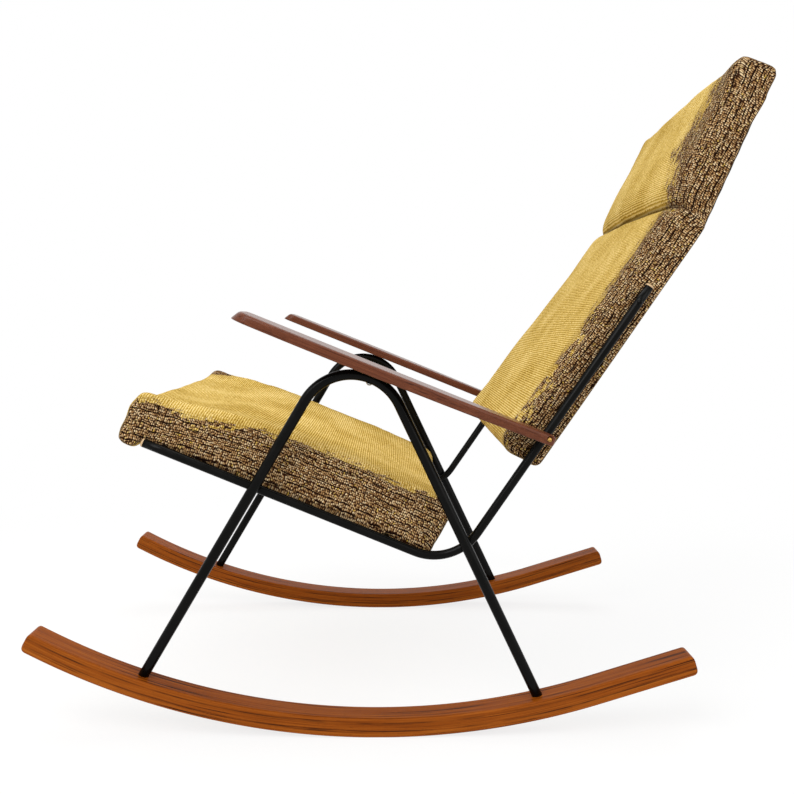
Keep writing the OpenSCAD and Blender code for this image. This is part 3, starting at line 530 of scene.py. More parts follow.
def makeCloth(cloth):
    # Plain weave: crossed threads, each a half wave, one over the other by turns, under a soft nap.
    # The threads are drawn coarser than real ones, so that they show
    material, tree = startMaterial(cloth["name"])
    place = addNode(tree, "ShaderNodeTexCoord", {}, "Object")
    parts = addNode(tree, "ShaderNodeSeparateXYZ", {"Vector": place}).node.outputs
    waves = []
    for axis in (1, 2):
        turn = addNode(tree, "ShaderNodeMath", {
            "operation": "MULTIPLY", 0: parts[axis], 1: math.pi * 1000 / cloth["threadMm"]})
        waves.append(addNode(tree, "ShaderNodeMath", {"operation": "SINE", 0: turn}))
    weave = addNode(tree, "ShaderNodeMath", {"operation": "MULTIPLY", 0: waves[0], 1: waves[1]})
    weave = addNode(tree, "ShaderNodeMapRange", {"Value": weave, "From Min": -1, "From Max": 1})
    fuzz = addNode(tree, "ShaderNodeTexNoise", {
        "Vector": place, "Scale": 1000 / cloths["fuzzMm"], "Detail": 3})
    mixed = addNode(tree, "ShaderNodeMix", {"data_type": "FLOAT", 0: 0.5, 2: weave, 3: fuzz})
    colour = addNode(tree, "ShaderNodeValToRGB", {"Fac": mixed, "stops": cloth["tones"]})
    relief = addNode(tree, "ShaderNodeBump", {
        "Height": mixed, "Strength": 0.6, "Distance": cloths["reliefMm"] / 1000})
    endMaterial(tree, {"Base Color": colour, "Roughness": cloth["roughness"], "Normal": relief,
                       "Sheen Weight": cloths["sheen"]})
    return material


caps = {"scuffMm": 1.667, "tones": [(0.35, "#A98A63"), (0.65, "#C0A27A")], "roughness": (0.4, 0.6),
        "ior": 1.51}


def makeCapPlastic():
    # Moulded polyethylene caps: tan, faintly waxy, scuffed by handling
    material, tree = startMaterial("Moulded tan plastic")
    place = addNode(tree, "ShaderNodeTexCoord", {}, "Object")
    scuff = addNode(tree, "ShaderNodeTexNoise", {
        "Vector": place, "Scale": 1000 / caps["scuffMm"], "Detail": 4})
    colour = addNode(tree, "ShaderNodeValToRGB", {"Fac": scuff, "stops": caps["tones"]})
    dull = addNode(tree, "ShaderNodeMapRange", {
        "Value": scuff, "To Min": caps["roughness"][0], "To Max": caps["roughness"][1]})
    endMaterial(tree, {"Base Color": colour, "Roughness": dull, "IOR": caps["ior"]})
    return material


print("materials")
enamel = makeEnamel()
beech = makeRunnerWood()
teak = makeArmWood()
wool = makeTweed()
pine = makeInnerWood()
zinc, brass = makeMetal(metals["zinc"]), makeMetal(metals["brass"])
capPlastic = makeCapPlastic()
webbing, lining = makeCloth(cloths["webbing"]), makeCloth(cloths["lining"])


# Camera

view = {"place": (0.0146, -1.4651, 0.5531), "tilt": 4.87, "roll": -0.46, "lens": 41.486}

cameraData = bpy.data.cameras.new("camera")
cameraData.lens = view["lens"]
cameraData.sensor_width = 36
cameraData.clip_end = 60
camera = bpy.data.objects.new("camera", cameraData)
camera.location = view["place"]
camera.rotation_euler = (math.radians(90 - view["tilt"]), 0, math.radians(view["roll"]))
bpy.context.scene.collection.objects.link(camera)
bpy.context.scene.camera = camera


# Steel tube

tube = {
    "hoop": {"corner": (-0.029, 0.560), "angles": (180 + 59.3, 360 - 64.7), "diameter": 0.014, "bend": 0.07,
             "depth": 0.012},
    "rail": {"corner": (0.1, 0.2215), "angles": (55.7, 157.7), "lengths": (0.452, 0.444), "diameter": 0.012,
             "bend": 0.07},
    "around": 40, "bendSteps": 40, "straightSteps": 16, "joinGap": 0.001,
}


def tubeRings(bent, y):
    # Centreline: a straight stretch, an arc of radius bend tangent to both, a straight stretch.
    # Ring = centre + radius (cos t normal + sin t Y), with the normal in the XZ plane
    angles, lengths, bend, radius = bent["angles"], bent["lengths"], bent["bend"], bent["diameter"] / 2
    corner, half = np.array(bent["corner"]), (angles[1] - angles[0]) / 2
    setback = bend / math.tan(math.radians(half))
    middle = corner + bend / math.sin(math.radians(half)) * heading(angles[0] + half)
    swing = np.linspace(angles[0] - 90, angles[1] - 270, tube["bendSteps"])
    arc = middle + bend * np.stack([np.cos(np.radians(swing)), np.sin(np.radians(swing))], -1)
    near, steps = setback + tube["joinGap"], tube["straightSteps"]
    runs = [corner + np.linspace(length, near, steps)[:, None] * heading(angle)
            for angle, length in zip(angles, lengths)]
    line = np.vstack([runs[0], arc, runs[1][::-1]])
    step = np.gradient(line, axis=0)
    step /= np.linalg.norm(step, axis=1, keepdims=True)
    turn = fullTurn(tube["around"])
    side = np.stack([-step[:, 1], step[:, 0]], -1)[:, None, :] * np.cos(turn)[:, None]
    ring = np.empty((len(line), len(turn), 3))
    ring[..., 0] = line[:, :1] + radius * side[..., 0]
    ring[..., 2] = line[:, 1:] + radius * side[..., 1]
    ring[..., 1] = y + radius * np.sin(turn)
    return ring


def legLength(corner, angle, radius, centreZ):
    # Distance t at which |corner + t heading - (0, centreZ)| = radius
    away = np.array(corner) - np.array([0, centreZ])
    b = -away @ heading(angle)
    return math.sqrt(b * b - away @ away + radius * radius) + b


runner = {
    "radius": 0.985, "height": 0.026, "width": 0.040, "frontArc": 28.6, "rearArc": 17.3, "rearLength": 0.137,
    "restFlat": 0.05, "edge": 0.0024, "lowerEase": 0.007, "upperEase": 0.006,
    "endRun": 0.008, "endStations": 14, "stations": 130, "endShare": 0.5,
    "boltHole": 0.0052, "boltSink": 0.005, "boltPast": 0.03, "boltAround": 48,
    "boardApart": 0.4,          # the two runners are cut from different boards
}
runnerCentreZ = math.sqrt(runner["radius"] ** 2 - (runner["restFlat"] / 2) ** 2)

print("steel tube")
hoop, rail = tube["hoop"], tube["rail"]
runnerTop = runner["radius"] - runner["height"]
hoop["lengths"] = [
    legLength(hoop["corner"], a, runnerTop, runnerCentreZ) + hoop["depth"] for a in hoop["angles"]]
for side, name in ((-1, "left"), (1, "right")):
    piece = newPiece("hoop_" + name, tubeRings(hoop, side * chair["sideY"]), enamel)
    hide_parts("leg_hoop_" + name)
    piece = newPiece("rail_" + name, tubeRings(rail, side * chair["railY"]), enamel)
    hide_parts("side_rail_" + name)


# Runners

def runnerLine(s):
    # Middle line at distance s from its front tip: an arc about (0, runnerCentreZ), then a straight tangent.
    # Returns the points and the directions of the section's height
    radius = runner["radius"] - runner["height"] / 2
    arcLength = radius * math.radians(runner["frontArc"] + runner["rearArc"])
    angle = np.radians(-90 - runner["frontArc"]) + np.minimum(s, arcLength) / radius
    out = np.stack([np.cos(angle), np.sin(angle)], -1)
    along = np.stack([-np.sin(angle), np.cos(angle)], -1)
    point = np.array([0, runnerCentreZ]) + radius * out + np.maximum(s - arcLength, 0)[:, None] * along
    return point, -out


def runnerPlace(points):
    # The inverse: distance along the runner, across it and over its underside
    radius = runner["radius"]
    x, z = points[:, 0], points[:, 2] - runnerCentreZ
    end = math.radians(-90 + runner["rearArc"])
    past = np.maximum(-x * math.sin(end) + z * math.cos(end), 0)
    straight = (-x * math.sin(end) + z * math.cos(end) > 0) & (x > 0)
    angle = np.where(straight, end, np.arctan2(z, x))
    reach = np.where(straight, x * math.cos(end) + z * math.sin(end), np.hypot(x, z))
    along = (angle + math.radians(90 + runner["frontArc"])) * radius + np.where(straight, past, 0)
    return np.stack([along, points[:, 1], radius - reach], -1)


def roundedSection(lowW, highW, halfY, edge):
    # Rings of a rectangle with rounded corners, one for each station: the corner's centre
    # + edge * (cos t, sin t) over a quarter turn, and a point just past either end of it, which keeps
    # the flats flat
    turn = np.radians(np.linspace(0, 90, 5))
    arc = np.concatenate([[[1, -0.35]], np.stack([np.cos(turn), np.sin(turn)], -1), [[-0.35, 1]]])
    signs = ((1, 1), (-1, 1), (-1, -1), (1, -1))
    corners = [(arc if sy * sw > 0 else arc[::-1]) * (sy, sw) for sy, sw in signs]
    y = np.concatenate([
        sy * (halfY[:, None] - edge) + edge * c[:, 0] for c, (sy, sw) in zip(corners, signs)], 1)
    w = np.concatenate([
        (highW[:, None] - edge if sw > 0 else lowW[:, None] + edge) + edge * c[:, 1]
        for c, (sy, sw) in zip(corners, signs)], 1)
    return y, w


def easedEnd(d, radius):
    # Fall of a rounded corner at distance d from the end: r - sqrt(r^2 - (r - d)^2)
    return radius - np.sqrt(np.maximum(radius ** 2 - np.maximum(radius - d, 0) ** 2, 0))


def boltHole(y, angle, length):
    # Short cylinder along the leg's line, from under the runner up to the bolt's seat
    along, over = heading(angle), heading(angle + 90)
    turn = fullTurn(runner["boltAround"])
    at = np.array([length + runner["boltPast"], length - runner["boltSink"]])
    rings = np.empty((2, len(turn), 3))
    for k, axis in ((0, 0), (2, 1)):
        rings[..., k] = (np.array(hoop["corner"])[axis] + at * along[axis])[:, None] \
            + runner["boltHole"] * np.cos(turn) * over[axis]
    rings[..., 1] = y + runner["boltHole"] * np.sin(turn)
    return rings


print("runners")
midRadius = runner["radius"] - runner["height"] / 2
runnerLength = midRadius * math.radians(runner["frontArc"] + runner["rearArc"]) + runner["rearLength"]
# Stations lie closer together towards either end
endSteps = runner["endRun"] * (1 - np.cos(np.linspace(0, math.pi / 2, runner["endStations"])))
midSteps = np.linspace(runner["endRun"], runnerLength - runner["endRun"], runner["stations"])[1:-1]
stations = np.concatenate([endSteps, midSteps, runnerLength - endSteps[::-1]])
fromEnd = np.minimum(stations, runnerLength - stations)
inset = easedEnd(fromEnd, runner["edge"])
lowW = -runner["height"] / 2 + easedEnd(fromEnd, runner["lowerEase"]) + inset * runner["endShare"]
highW = runner["height"] / 2 - easedEnd(fromEnd, runner["upperEase"]) - inset * runner["endShare"]
sectionY, sectionW = roundedSection(lowW, highW, runner["width"] / 2 - inset, runner["edge"])
linePoints, lineUp = runnerLine(stations)
underside = [legLength(hoop["corner"], a, runner["radius"], runnerCentreZ) for a in hoop["angles"]]
for side, name in ((-1, "left"), (1, "right")):
    rings = np.empty((*sectionY.shape, 3))
    rings[..., 0] = linePoints[:, :1] + sectionW * lineUp[:, :1]
    rings[..., 2] = np.maximum(linePoints[:, 1:] + sectionW * lineUp[:, 1:], 0)
    rings[..., 1] = side * chair["sideY"] + sectionY
    piece = newPiece("runner_" + name + "_wood", rings, beech)
    cutAway(piece, [boltHole(side * chair["sideY"], angle, length)
                    for angle, length in zip(hoop["angles"], underside)])
    place = runnerPlace(readPoints(piece.data))
    place[:, 1] += runner["boardApart"] * side
    writePlace(piece.data, "grainPlace", place)
    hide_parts("runner_" + name)


# Arms

arm = {
    "touch": (-0.0068, 0.4825), "slope": 22.0, "reach": 0.192, "length": 0.443, "thick": 0.013,
    "inner": 0.2574, "outer": 0.3494, "rearOuter": 0.2960, "tongueY": 0.2680, "widestAt": 0.150,
    "notch": 0.026, "tipRadius": 0.030, "tipLean": 0.0075, "leanReach": 0.02,
    "topEdge": 0.0042, "lowEdge": 0.0016, "flatRim": 0.0006, "planStep": 0.0015,
    "bowStart": 1.2, "bowCorners": 18, "bowRadius": 0.3, "rearRadius": 0.0065, "tongueRadius": 0.0012,
    "notchRadius": 0.0008, "innerRadius": 0.002,
    "pin": (0.221, 0.399), "pinHole": 0.0042, "pinDepth": 0.0028, "pinAround": 48,
    "boardApart": 0.3,          # the two arms are cut from different boards
}


def armEdge(u):
    # Outer edge: a circle arc that touches the greatest width and falls to the rear width at the end
    fall, run = arm["outer"] - arm["rearOuter"], arm["length"] - arm["widestAt"]
    radius = (run ** 2 + fall ** 2) / (2 * fall)
    return arm["outer"] - radius + np.sqrt(radius ** 2 - (u - arm["widestAt"]) ** 2)


def armRings(side):
    # The edge's profile carried round the plan: ring k = plan moved inwards by inset k, at height k
    rearU, notchU = arm["length"], arm["length"] - arm["notch"]
    bow = np.linspace(arm["tipRadius"] * arm["bowStart"], notchU, arm["bowCorners"])
    plan = [[0, arm["inner"], arm["tipRadius"] / 2], [0, float(armEdge(0)), arm["tipRadius"]]]
    plan += [[u, float(armEdge(u)), arm["bowRadius"]] for u in bow]
    plan += [[rearU, arm["rearOuter"], arm["rearRadius"]], [rearU, arm["tongueY"], arm["tongueRadius"]]]
    plan += [[notchU, arm["tongueY"], arm["notchRadius"]], [notchU, arm["inner"], arm["innerRadius"]]]
    loop = evenLoop(roundedLoop(plan), arm["planStep"])
    normal = loopNormals(loop)
    low, top, thick, rim = arm["lowEdge"], arm["topEdge"], arm["thick"], arm["flatRim"]
    turn = np.radians(np.linspace(0, 90, 7))
    inset = np.concatenate([[low + rim], low * (1 - np.sin(turn)), top * (1 - np.cos(turn)), [top + rim]])
    height = np.concatenate([[0], low * (1 - np.cos(turn)), thick - top + top * np.sin(turn), [thick]])
    place = loop[None] - inset[:, None, None] * normal[None]
    # The tip's end face leans: u grows by lean * height / thick * exp(-u / reach)
    fade = np.exp(-np.maximum(place[..., 0], 0) / arm["leanReach"])
    u = place[..., 0] + arm["tipLean"] * height[:, None] / thick * fade
    return np.stack([u, side * place[..., 1], np.broadcast_to(height[:, None], u.shape)], -1)


print("arms")
armTip = np.array(arm["touch"]) - arm["reach"] * heading(-arm["slope"])
for side, name in ((-1, "left"), (1, "right")):
    rings = toWorld(armRings(side), armTip, -arm["slope"])
    piece = newPiece("arm_" + name + "_wood", rings, teak)
    pinU = (np.array(arm["pin"]) - armTip) @ heading(-arm["slope"])
    turn = fullTurn(arm["pinAround"])
    hole = np.empty((2, len(turn), 3))
    hole[..., 0] = arm["pin"][0] + arm["pinHole"] * np.cos(turn)
    hole[..., 2] = arm["pin"][1] + arm["pinHole"] * np.sin(turn)
    hole[..., 1] = side * np.array([float(armEdge(pinU)) - arm["pinDepth"], arm["outer"]])[:, None]
    cutAway(piece, [hole])
    place = toFrame(readPoints(piece.data), armTip, -arm["slope"])
    place[:, 1] += arm["boardApart"] * side
    writePlace(piece.data, "grainPlace", place)
    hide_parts("arm_" + name)


# Cushions

# Corners are [share of a length, share of a height, share of a radius], and pairs of thresholds are places
# between which an effect comes in
seat = {
    "length": 0.412, "height": 0.073, "floor": 0.0061, "nose": 0.040, "noseDrop": 0.023, "dish": 0.009,
    "edge": 0.012, "draw": 0.002, "step": 0.0055, "cap": (0.003, 0.003, 0.003), "pressure": 4.0,
    "top": [[1.018, 0.5, 1.5], [1.014, 0.93, 0.3], [0.7, 1.01, 3], [0.32, 1, 3]],
    "front": [[-0.7, 0.79, 0.28], [-0.97, 0.25, 2], [-1.01, 0, 0.6]],
    "roll": [[-0.9, -1, 0.52], [-0.18, -1, 0.3], [-0.1, 0, 0.13]],
    "endShare": 0.993, "endRadiusShare": 0.09,
    "heldU": -0.004, "heldW": 0.006,         # the cloth lies on the frame behind and under this place
    "pocket": (-0.0244, 0.3883), "pocketHalf": 0.2407, "pocketLow": -0.015, "pocketTop": 0.0244,
    "nosePocket": 0.0022, "nosePocketTop": 0.0424,
    "bars": (0.026, 0.345), "groove": 0.0065, "grooveHalf": 0.27, "grooveAround": 32,
    "underAt": (-0.006, 0.006), "under": (0.0, 0.0065),
    "yellowAt": (0.0, 0.05, 0.1, 0.15, 0.22, 0.4), "yellowHalf": (0.262, 0.272, 0.262, 0.251, 0.245, 0.242),
    "farYellowLess": 0.042, "farYellowFrom": (-0.01, 0.04), "ragged": 0.015, "clothStart": 0.2,
}
seatWear = {
    "ripple": 0.0012, "topFrom": (0.03, 0.06), "frontReach": 0.06, "nearFrom": (-0.25, -0.1),
    "lift": 0.003, "sag": 0.012, "sagMiddle": 0.015, "sagHalf": 0.245, "nearSag": 0.01,
    "bump": 0.006, "bumpFrom": (0.16, 0.25), "bumpAt": 0.05, "bumpReach": 0.05,
    "lean": 0.0025, "nearLean": 0.004, "leanUntil": (-0.03, 0.02), "leanFrom": (0.015, 0.04),
}
back = {
    "start": 0.172, "length": 0.391, "head": 0.214, "thick": 0.058, "rear": 0.0165, "lean": 0.040,
    "edge": 0.010, "draw": 0.002, "step": 0.006, "cap": (0.003, 0.001, 0.003), "pressure": 4.0,
    "headCrown": 0.014, "endPad": 0.011, "pad": 0.009,
    "front": [[-0.027, 0.99, 0.27], [0.08, 0.95, 1], [0.2, 0.93, 1], [0.5, 0.84, 3], [0.79, 0.77, 3],
              [0.955, 0.78, 0.3]],
    "seamHeight": 0.7,
    "headFront": [[0.09, 0.84, 0.2], [0.28, 0.93, 1], [0.6, 1.1, 3], [0.968, 1.38, 0.16]],
    "startRadius": 0.16, "seamRadius": 0.05, "endRadius": 0.2, "bendRadius": 2, "topRise": 0.004,
    "crownAt": (-0.05, 0, 0.2, 0.4, 0.6, 0.8, 1), "crownShares": (0, 0.4, 1, 1, 0.7, 0.3, 0),
    "heldW": 0.003, "hollowBehind": 0.015,
    "creaseDepth": 0.009, "creaseWidth": 0.0045, "creaseAt": 0.002, "creaseBeyond": 0.006,
    "creaseSide": (-0.03, 0.004), "creaseSideShare": 0.3, "creaseFront": (0.0, 0.02),
    "underAt": (0.2, 0.54, 0.59, 0.68, 0.73), "under": (0.003, 0.004, 0, 0, 0.0045),
    "stileAt": (0.246, 0.368, 0.481, 0.545), "stileFront": (0.0322, 0.027, 0.0189, 0.0177),
    "stileCover": 0.0015, "stileInner": 0.22, "stilePast": 0.001, "stileFromU": 0.205, "stileFromW": 0.01,
    "ripple": 0.0012, "frontFrom": (0.014, 0.036),
    "seamSlope": 0.014, "seamReach": 0.06,
    "skewAt": (0.35, 0.6, 0.7, 0.77), "skew": (0, 0.015, 0.030, 0.045),    # worn askew: rise per metre across
    "rearSkewShare": 0.22,
    "yellowAt": (0.2, 0.35, 0.43, 0.53, 0.6, 0.65, 0.72, 0.78),
    "yellowHalf": (0.247, 0.230, 0.212, 0.202, 0.200, 0.155, 0.185, 0.190), "farHalf": 0.262,
    "ragged": (0.03, 0.035, 0.035, 0.035, 0.045, 0.05, 0.05, 0.05), "clothStart": 0.4,
}
coverFit = {
    "sideFrom": (0.35, 0.85), "endFrom": (0.6, 0.9), "endReach": (0.02, 0.04),
    "farPiece": 0.7,          # the far side is cut from another stretch of the cloth
}
cushionGrid = {"loopStep": 0.004, "edgeRows": 8, "flatRows": 71, "fallShare": 0.45, "rearFallLess": 0.8}
clothRun = {"quality": 4, "massKg": 0.3, "frames": 20}
seamAt = back["start"] + back["length"]
headEnd = seamAt + back["head"]


def shareCorners(corners, u, w, long, high, radius):
    # Corners (u + long * s, w + high * t) with radius * r from their shares [s, t, r]
    return [[u + s * long, w + t * high, r * radius] for s, t, r in corners]


def sweptCushion(loop, cushion, crownU, crown):
    # P(row, i) = loop point + outward normal * (crown(u) * upward share * (1 - (y / half)^2) - fall), at
    # y * (1 - draw (1 - (u from mid-length)^2) / half). The fall rounds the long edges: 0.45 of a quarter
    # circle's, and a fifth of that on the faces that lie on the frame. Underneath the shape grows by a
    # little that varies along u, which the smoothing takes off again
    half, edge, flat = chair["cushionY"], cushion["edge"], chair["cushionY"] - cushion["edge"]
    turn = np.radians(np.linspace(90, 0, cushionGrid["edgeRows"]))[:-1]
    rim = flat + edge * np.sin(turn)
    y = np.concatenate([-rim, np.linspace(-flat, flat, cushionGrid["flatRows"]), rim[::-1]])
    drop = edge * (1 - np.cos(turn))
    inset = np.concatenate([drop, np.zeros(cushionGrid["flatRows"]), drop[::-1]])
    normal = loopNormals(loop)
    swell = np.interp(loop[:, 0], crownU, crown) * np.maximum(normal[:, 1], 0)
    fall = cushionGrid["fallShare"] * inset[:, None]
    fall = fall * (1 + cushionGrid["rearFallLess"] * np.minimum(normal[:, 1], 0))
    deeper = np.interp(loop[:, 0], cushion["underAt"], cushion["under"]) * np.maximum(-normal[:, 1], 0) ** 2
    push = swell[None] * (1 - (y[:, None] / half) ** 2) - fall + deeper[None]
    place = loop[None] + push[..., None] * normal[None]
    middle, reach = (loop[:, 0].max() + loop[:, 0].min()) / 2, np.ptp(loop[:, 0]) / 2
    across = y[:, None] * (1 - cushion["draw"] * (1 - ((loop[:, 0] - middle) / reach) ** 2) / half)[None]
    return np.stack([place[..., 0], across, place[..., 1]], -1)


def puffUp(piece, cushion, held):
    # Remeshed to even squares and blown up as cloth. Each point moves by at most the cap,
    # and those that held(points) names stay where they are
    remesh = piece.modifiers.new("remesh", "REMESH")
    remesh.mode, remesh.voxel_size = "VOXEL", cushion["step"]
    settle(piece)
    before = readPoints(piece.data)
    group = piece.vertex_groups.new(name="held")
    group.add(np.flatnonzero(held(before)).tolist(), 1.0, "REPLACE")
    cloth = piece.modifiers.new("cloth", "CLOTH")
    cloth.settings.quality = clothRun["quality"]
    cloth.settings.mass = clothRun["massKg"]
    cloth.settings.use_pressure = True
    cloth.settings.uniform_pressure_force = cushion["pressure"]
    cloth.settings.effector_weights.gravity = 0
    cloth.settings.vertex_group_mass = "held"
    cloth.point_cache.frame_start, cloth.point_cache.frame_end = 1, clothRun["frames"]
    for number in range(1, clothRun["frames"] + 1):
        bpy.context.scene.frame_set(number)
    settle(piece)
    bpy.context.scene.frame_set(1)
    move = readPoints(piece.data) - before
    cap = np.array(cushion["cap"])
    print("  moved up to", np.abs(move).max(0).round(4))
    writePoints(piece.data, before + cap * np.tanh(move / cap))
    piece.vertex_groups.clear()


def smoothOut(piece):
    # One level of subdivision, applied
    smooth = piece.modifiers.new("smooth", "SUBSURF")
    smooth.levels = smooth.render_levels = 1
    settle(piece)


def ripples(points, size):
    # Slow unevenness of the padding: three crossed waves, whose sum is size metres high at most
    u, y = points[:, 0], points[:, 1]
    crossed = np.sin(u * 31 + 1.3) * np.sin(y * 23 + 0.4)
    return size * (crossed + 0.6 * np.sin(u * 57 + y * 38) + 0.4 * np.sin(y * 71 - u * 24)) / 2


def readNormals(mesh):
    flat = np.empty(len(mesh.vertices) * 3, np.float32)
    mesh.vertex_normals.foreach_get("vector", flat)
    return flat.reshape(-1, 3)


def clothWidth(mesh, loop):
    # Distance from the middle plane over the cloth: |y| + side share * depth under the upper outline.
    # The side share goes from 0 to 1 as the normal turns towards Y
    points, upper = readPoints(mesh), loop[loopNormals(loop)[:, 1] > 0.5]
    upper = upper[np.argsort(upper[:, 0])]
    depth = np.maximum(np.interp(points[:, 0], upper[:, 0], upper[:, 1]) - points[:, 2], 0)
    sideShare = softStep(*coverFit["sideFrom"], np.abs(readNormals(mesh)[:, 1]))
    return np.abs(points[:, 1]) + sideShare * depth


def clothPlaces(mesh, loop, startU):
    # Where each point lies on the cloth: (length for the tweed, width round the edge, length for the ribs).
    # The length is u, and round the ends the arc length of the nearest point of the side outline.
    # The two sides of the cushion take other parts of the cloth
    points, normals = readPoints(mesh), readNormals(mesh)
    closed = np.vstack([loop, loop[:1]])
    arc = np.concatenate([[0], np.cumsum(np.linalg.norm(np.diff(closed, axis=0), axis=1))])
    a, d = closed[:-1], np.diff(closed, axis=0)
    uw = points[:, [0, 2]]
    nearest = np.empty(len(uw))
    for part in np.array_split(np.arange(len(uw)), 1 + len(uw) // 20000):
        t = np.clip(((uw[part, None] - a) * d).sum(-1) / (d * d).sum(-1), 0, 1)
        gap = ((uw[part, None] - a - t[..., None] * d) ** 2).sum(-1)
        best = gap.argmin(1)
        nearest[part] = arc[best] + t[np.arange(len(part)), best] * np.diff(arc)[best]
    # The length is counted so that it is u at the middle of the upper side
    upper = loopNormals(loop)[:, 1] > 0.5
    middle = np.flatnonzero(upper)[np.abs(loop[upper, 0] - startU).argmin()]
    sign = np.sign(loop[(middle + 1) % len(loop), 0] - loop[middle, 0])
    along = startU + sign * ((nearest - arc[middle] + arc[-1] / 2) % arc[-1] - arc[-1] / 2)
    fromEnd = np.minimum(points[:, 0] - loop[:, 0].min(), loop[:, 0].max() - points[:, 0])
    endShare = softStep(*coverFit["endFrom"], np.abs(normals[:, 0]))
    endShare *= 1 - softStep(*coverFit["endReach"], fromEnd)
    along = along * endShare + points[:, 0] * (1 - endShare)
    return np.stack([along, clothWidth(mesh, loop) + coverFit["farPiece"] * (points[:, 1] > 0), along], -1)


def crossRings(corners, low, high):
    # A section [(u, w), ...] at both ends of a stretch across Y
    u, w = np.array(corners).T
    return np.stack([np.stack([u, np.full(len(u), y), w], -1) for y in (low, high)])


def pocketRings(start, end, low, high):
    # A box out of the seat cushion's underside
    corners = [(start, low), (end, low), (end, high), (start, high)]
    return crossRings(corners, -seat["pocketHalf"], seat["pocketHalf"])


def barRings(u):
    # Groove where the cushion's rim lies over a crossbar: a cylinder across Y at w = 0
    turn = fullTurn(seat["grooveAround"])
    corners = np.stack([u + seat["groove"] * np.cos(turn), seat["groove"] * np.sin(turn)], -1)
    return crossRings(corners, -seat["grooveHalf"], seat["grooveHalf"])


def wearSeat(points):
    # The front edge sags between the corners, more so on the near side, the far corner stands up, and the
    # nose leans out. Near the front f = exp(-(u / reach)^2) and on the near side s goes to 1:
    # w += top share * (ripples + f (lift - sag (1 - ((y - middle) / half)^8) - nearSag s) + bump),
    # u -= nose share * (lean + nearLean s)
    worn = points.copy()
    u, y = points[:, 0], points[:, 1]
    top = softStep(*seatWear["topFrom"], points[:, 2])
    nearFront = np.exp(-(u / seatWear["frontReach"]) ** 2)
    nearSide = 1 - softStep(*seatWear["nearFrom"], y)
    hollow = np.clip(1 - ((y - seatWear["sagMiddle"]) / seatWear["sagHalf"]) ** 8, 0, 1)
    sag = seatWear["lift"] - seatWear["sag"] * hollow - seatWear["nearSag"] * nearSide
    bump = seatWear["bump"] * softStep(*seatWear["bumpFrom"], y)
    bump *= np.exp(-((u - seatWear["bumpAt"]) / seatWear["bumpReach"]) ** 2)
    worn[:, 2] += top * (ripples(points, seatWear["ripple"]) + nearFront * sag + bump)
    nose = (1 - softStep(*seatWear["leanUntil"], u)) * softStep(*seatWear["leanFrom"], worn[:, 2])
    worn[:, 0] -= (seatWear["lean"] + seatWear["nearLean"] * nearSide) * nose
    return worn


print("seat cushion")
floorW = seat["floor"]
seatLoop = evenLoop(roundedLoop(
    [[seat["length"] * seat["endShare"], floorW, seat["height"] * seat["endRadiusShare"]]]
    + shareCorners(seat["roll"][::-1], 0, floorW, seat["nose"], seat["noseDrop"], seat["noseDrop"])
    + shareCorners(seat["front"][::-1], 0, floorW, seat["nose"], seat["height"], seat["nose"])
    + shareCorners(seat["top"][::-1], 0, floorW, seat["length"], seat["height"], seat["height"])
), cushionGrid["loopStep"])
seatRings = sweptCushion(seatLoop, seat, [0, seat["length"]], [-seat["dish"]] * 2)
seatPiece = newPiece("seat_upholstery", seatRings, wool)
puffUp(seatPiece, seat, lambda p: (p[:, 2] < seat["heldW"]) & (p[:, 0] > seat["heldU"]))
writePoints(seatPiece.data, wearSeat(readPoints(seatPiece.data)))
smoothOut(seatPiece)
start, end = seat["pocket"]
cutAway(seatPiece, [
    pocketRings(start, end, seat["pocketLow"], seat["pocketTop"]),
    pocketRings(start, seat["nosePocket"], seat["pocketLow"], seat["nosePocketTop"]),
    *[barRings(u) for u in seat["bars"]],
])
points = readPoints(seatPiece.data)
writePlace(seatPiece.data, "clothPlace", clothPlaces(seatPiece.data, seatLoop, seat["clothStart"]))
yellowHalf = np.interp(points[:, 0], seat["yellowAt"], seat["yellowHalf"])
nose = 1 - softStep(*seat["farYellowFrom"], points[:, 0])
yellowHalf -= seat["farYellowLess"] * (points[:, 1] > 0) * nose
beyond = clothWidth(seatPiece.data, seatLoop) - yellowHalf
writePlace(seatPiece.data, "clothEdge", np.stack([
    beyond, np.full(len(points), seat["ragged"]), np.ones(len(points))], -1))
writePoints(seatPiece.data, toWorld(points, chair["railFront"], -chair["seatSlope"]))
seatPiece.data.shade_smooth()
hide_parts("seat_cushion")


def rearAt(u):
    # Rear face of the back: level up to the seam, then leaning forwards
    return np.maximum(u - seamAt, 0) * back["lean"] / back["head"] - back["rear"]


def seamRise(points):
    # The seam runs up by seamSlope towards the far side: slope * (y + half) * exp(-((u - seam) / reach)^2)
    near = np.exp(-((points[:, 0] - seamAt) / back["seamReach"]) ** 2)
    return back["seamSlope"] * (points[:, 1] + chair["cushionY"]) * near


def seamDistance(points):
    # Along the cushion, from the middle of the seam's crease
    return np.abs(points[:, 0] - seamAt - back["creaseAt"] - seamRise(points))


def wearBack(points):
    # The padding ripples, leans by skew(u) * y, mostly at the front, and its seam runs askew
    front = softStep(*back["frontFrom"], points[:, 2] - rearAt(points[:, 0]))
    worn = points.copy()
    worn[:, 2] += front * ripples(points, back["ripple"])
    frontShare = back["rearSkewShare"] + (1 - back["rearSkewShare"]) * front
    worn[:, 2] -= frontShare * np.interp(points[:, 0], back["skewAt"], back["skew"]) * points[:, 1]
    worn[:, 0] += front * seamRise(points)
    return worn


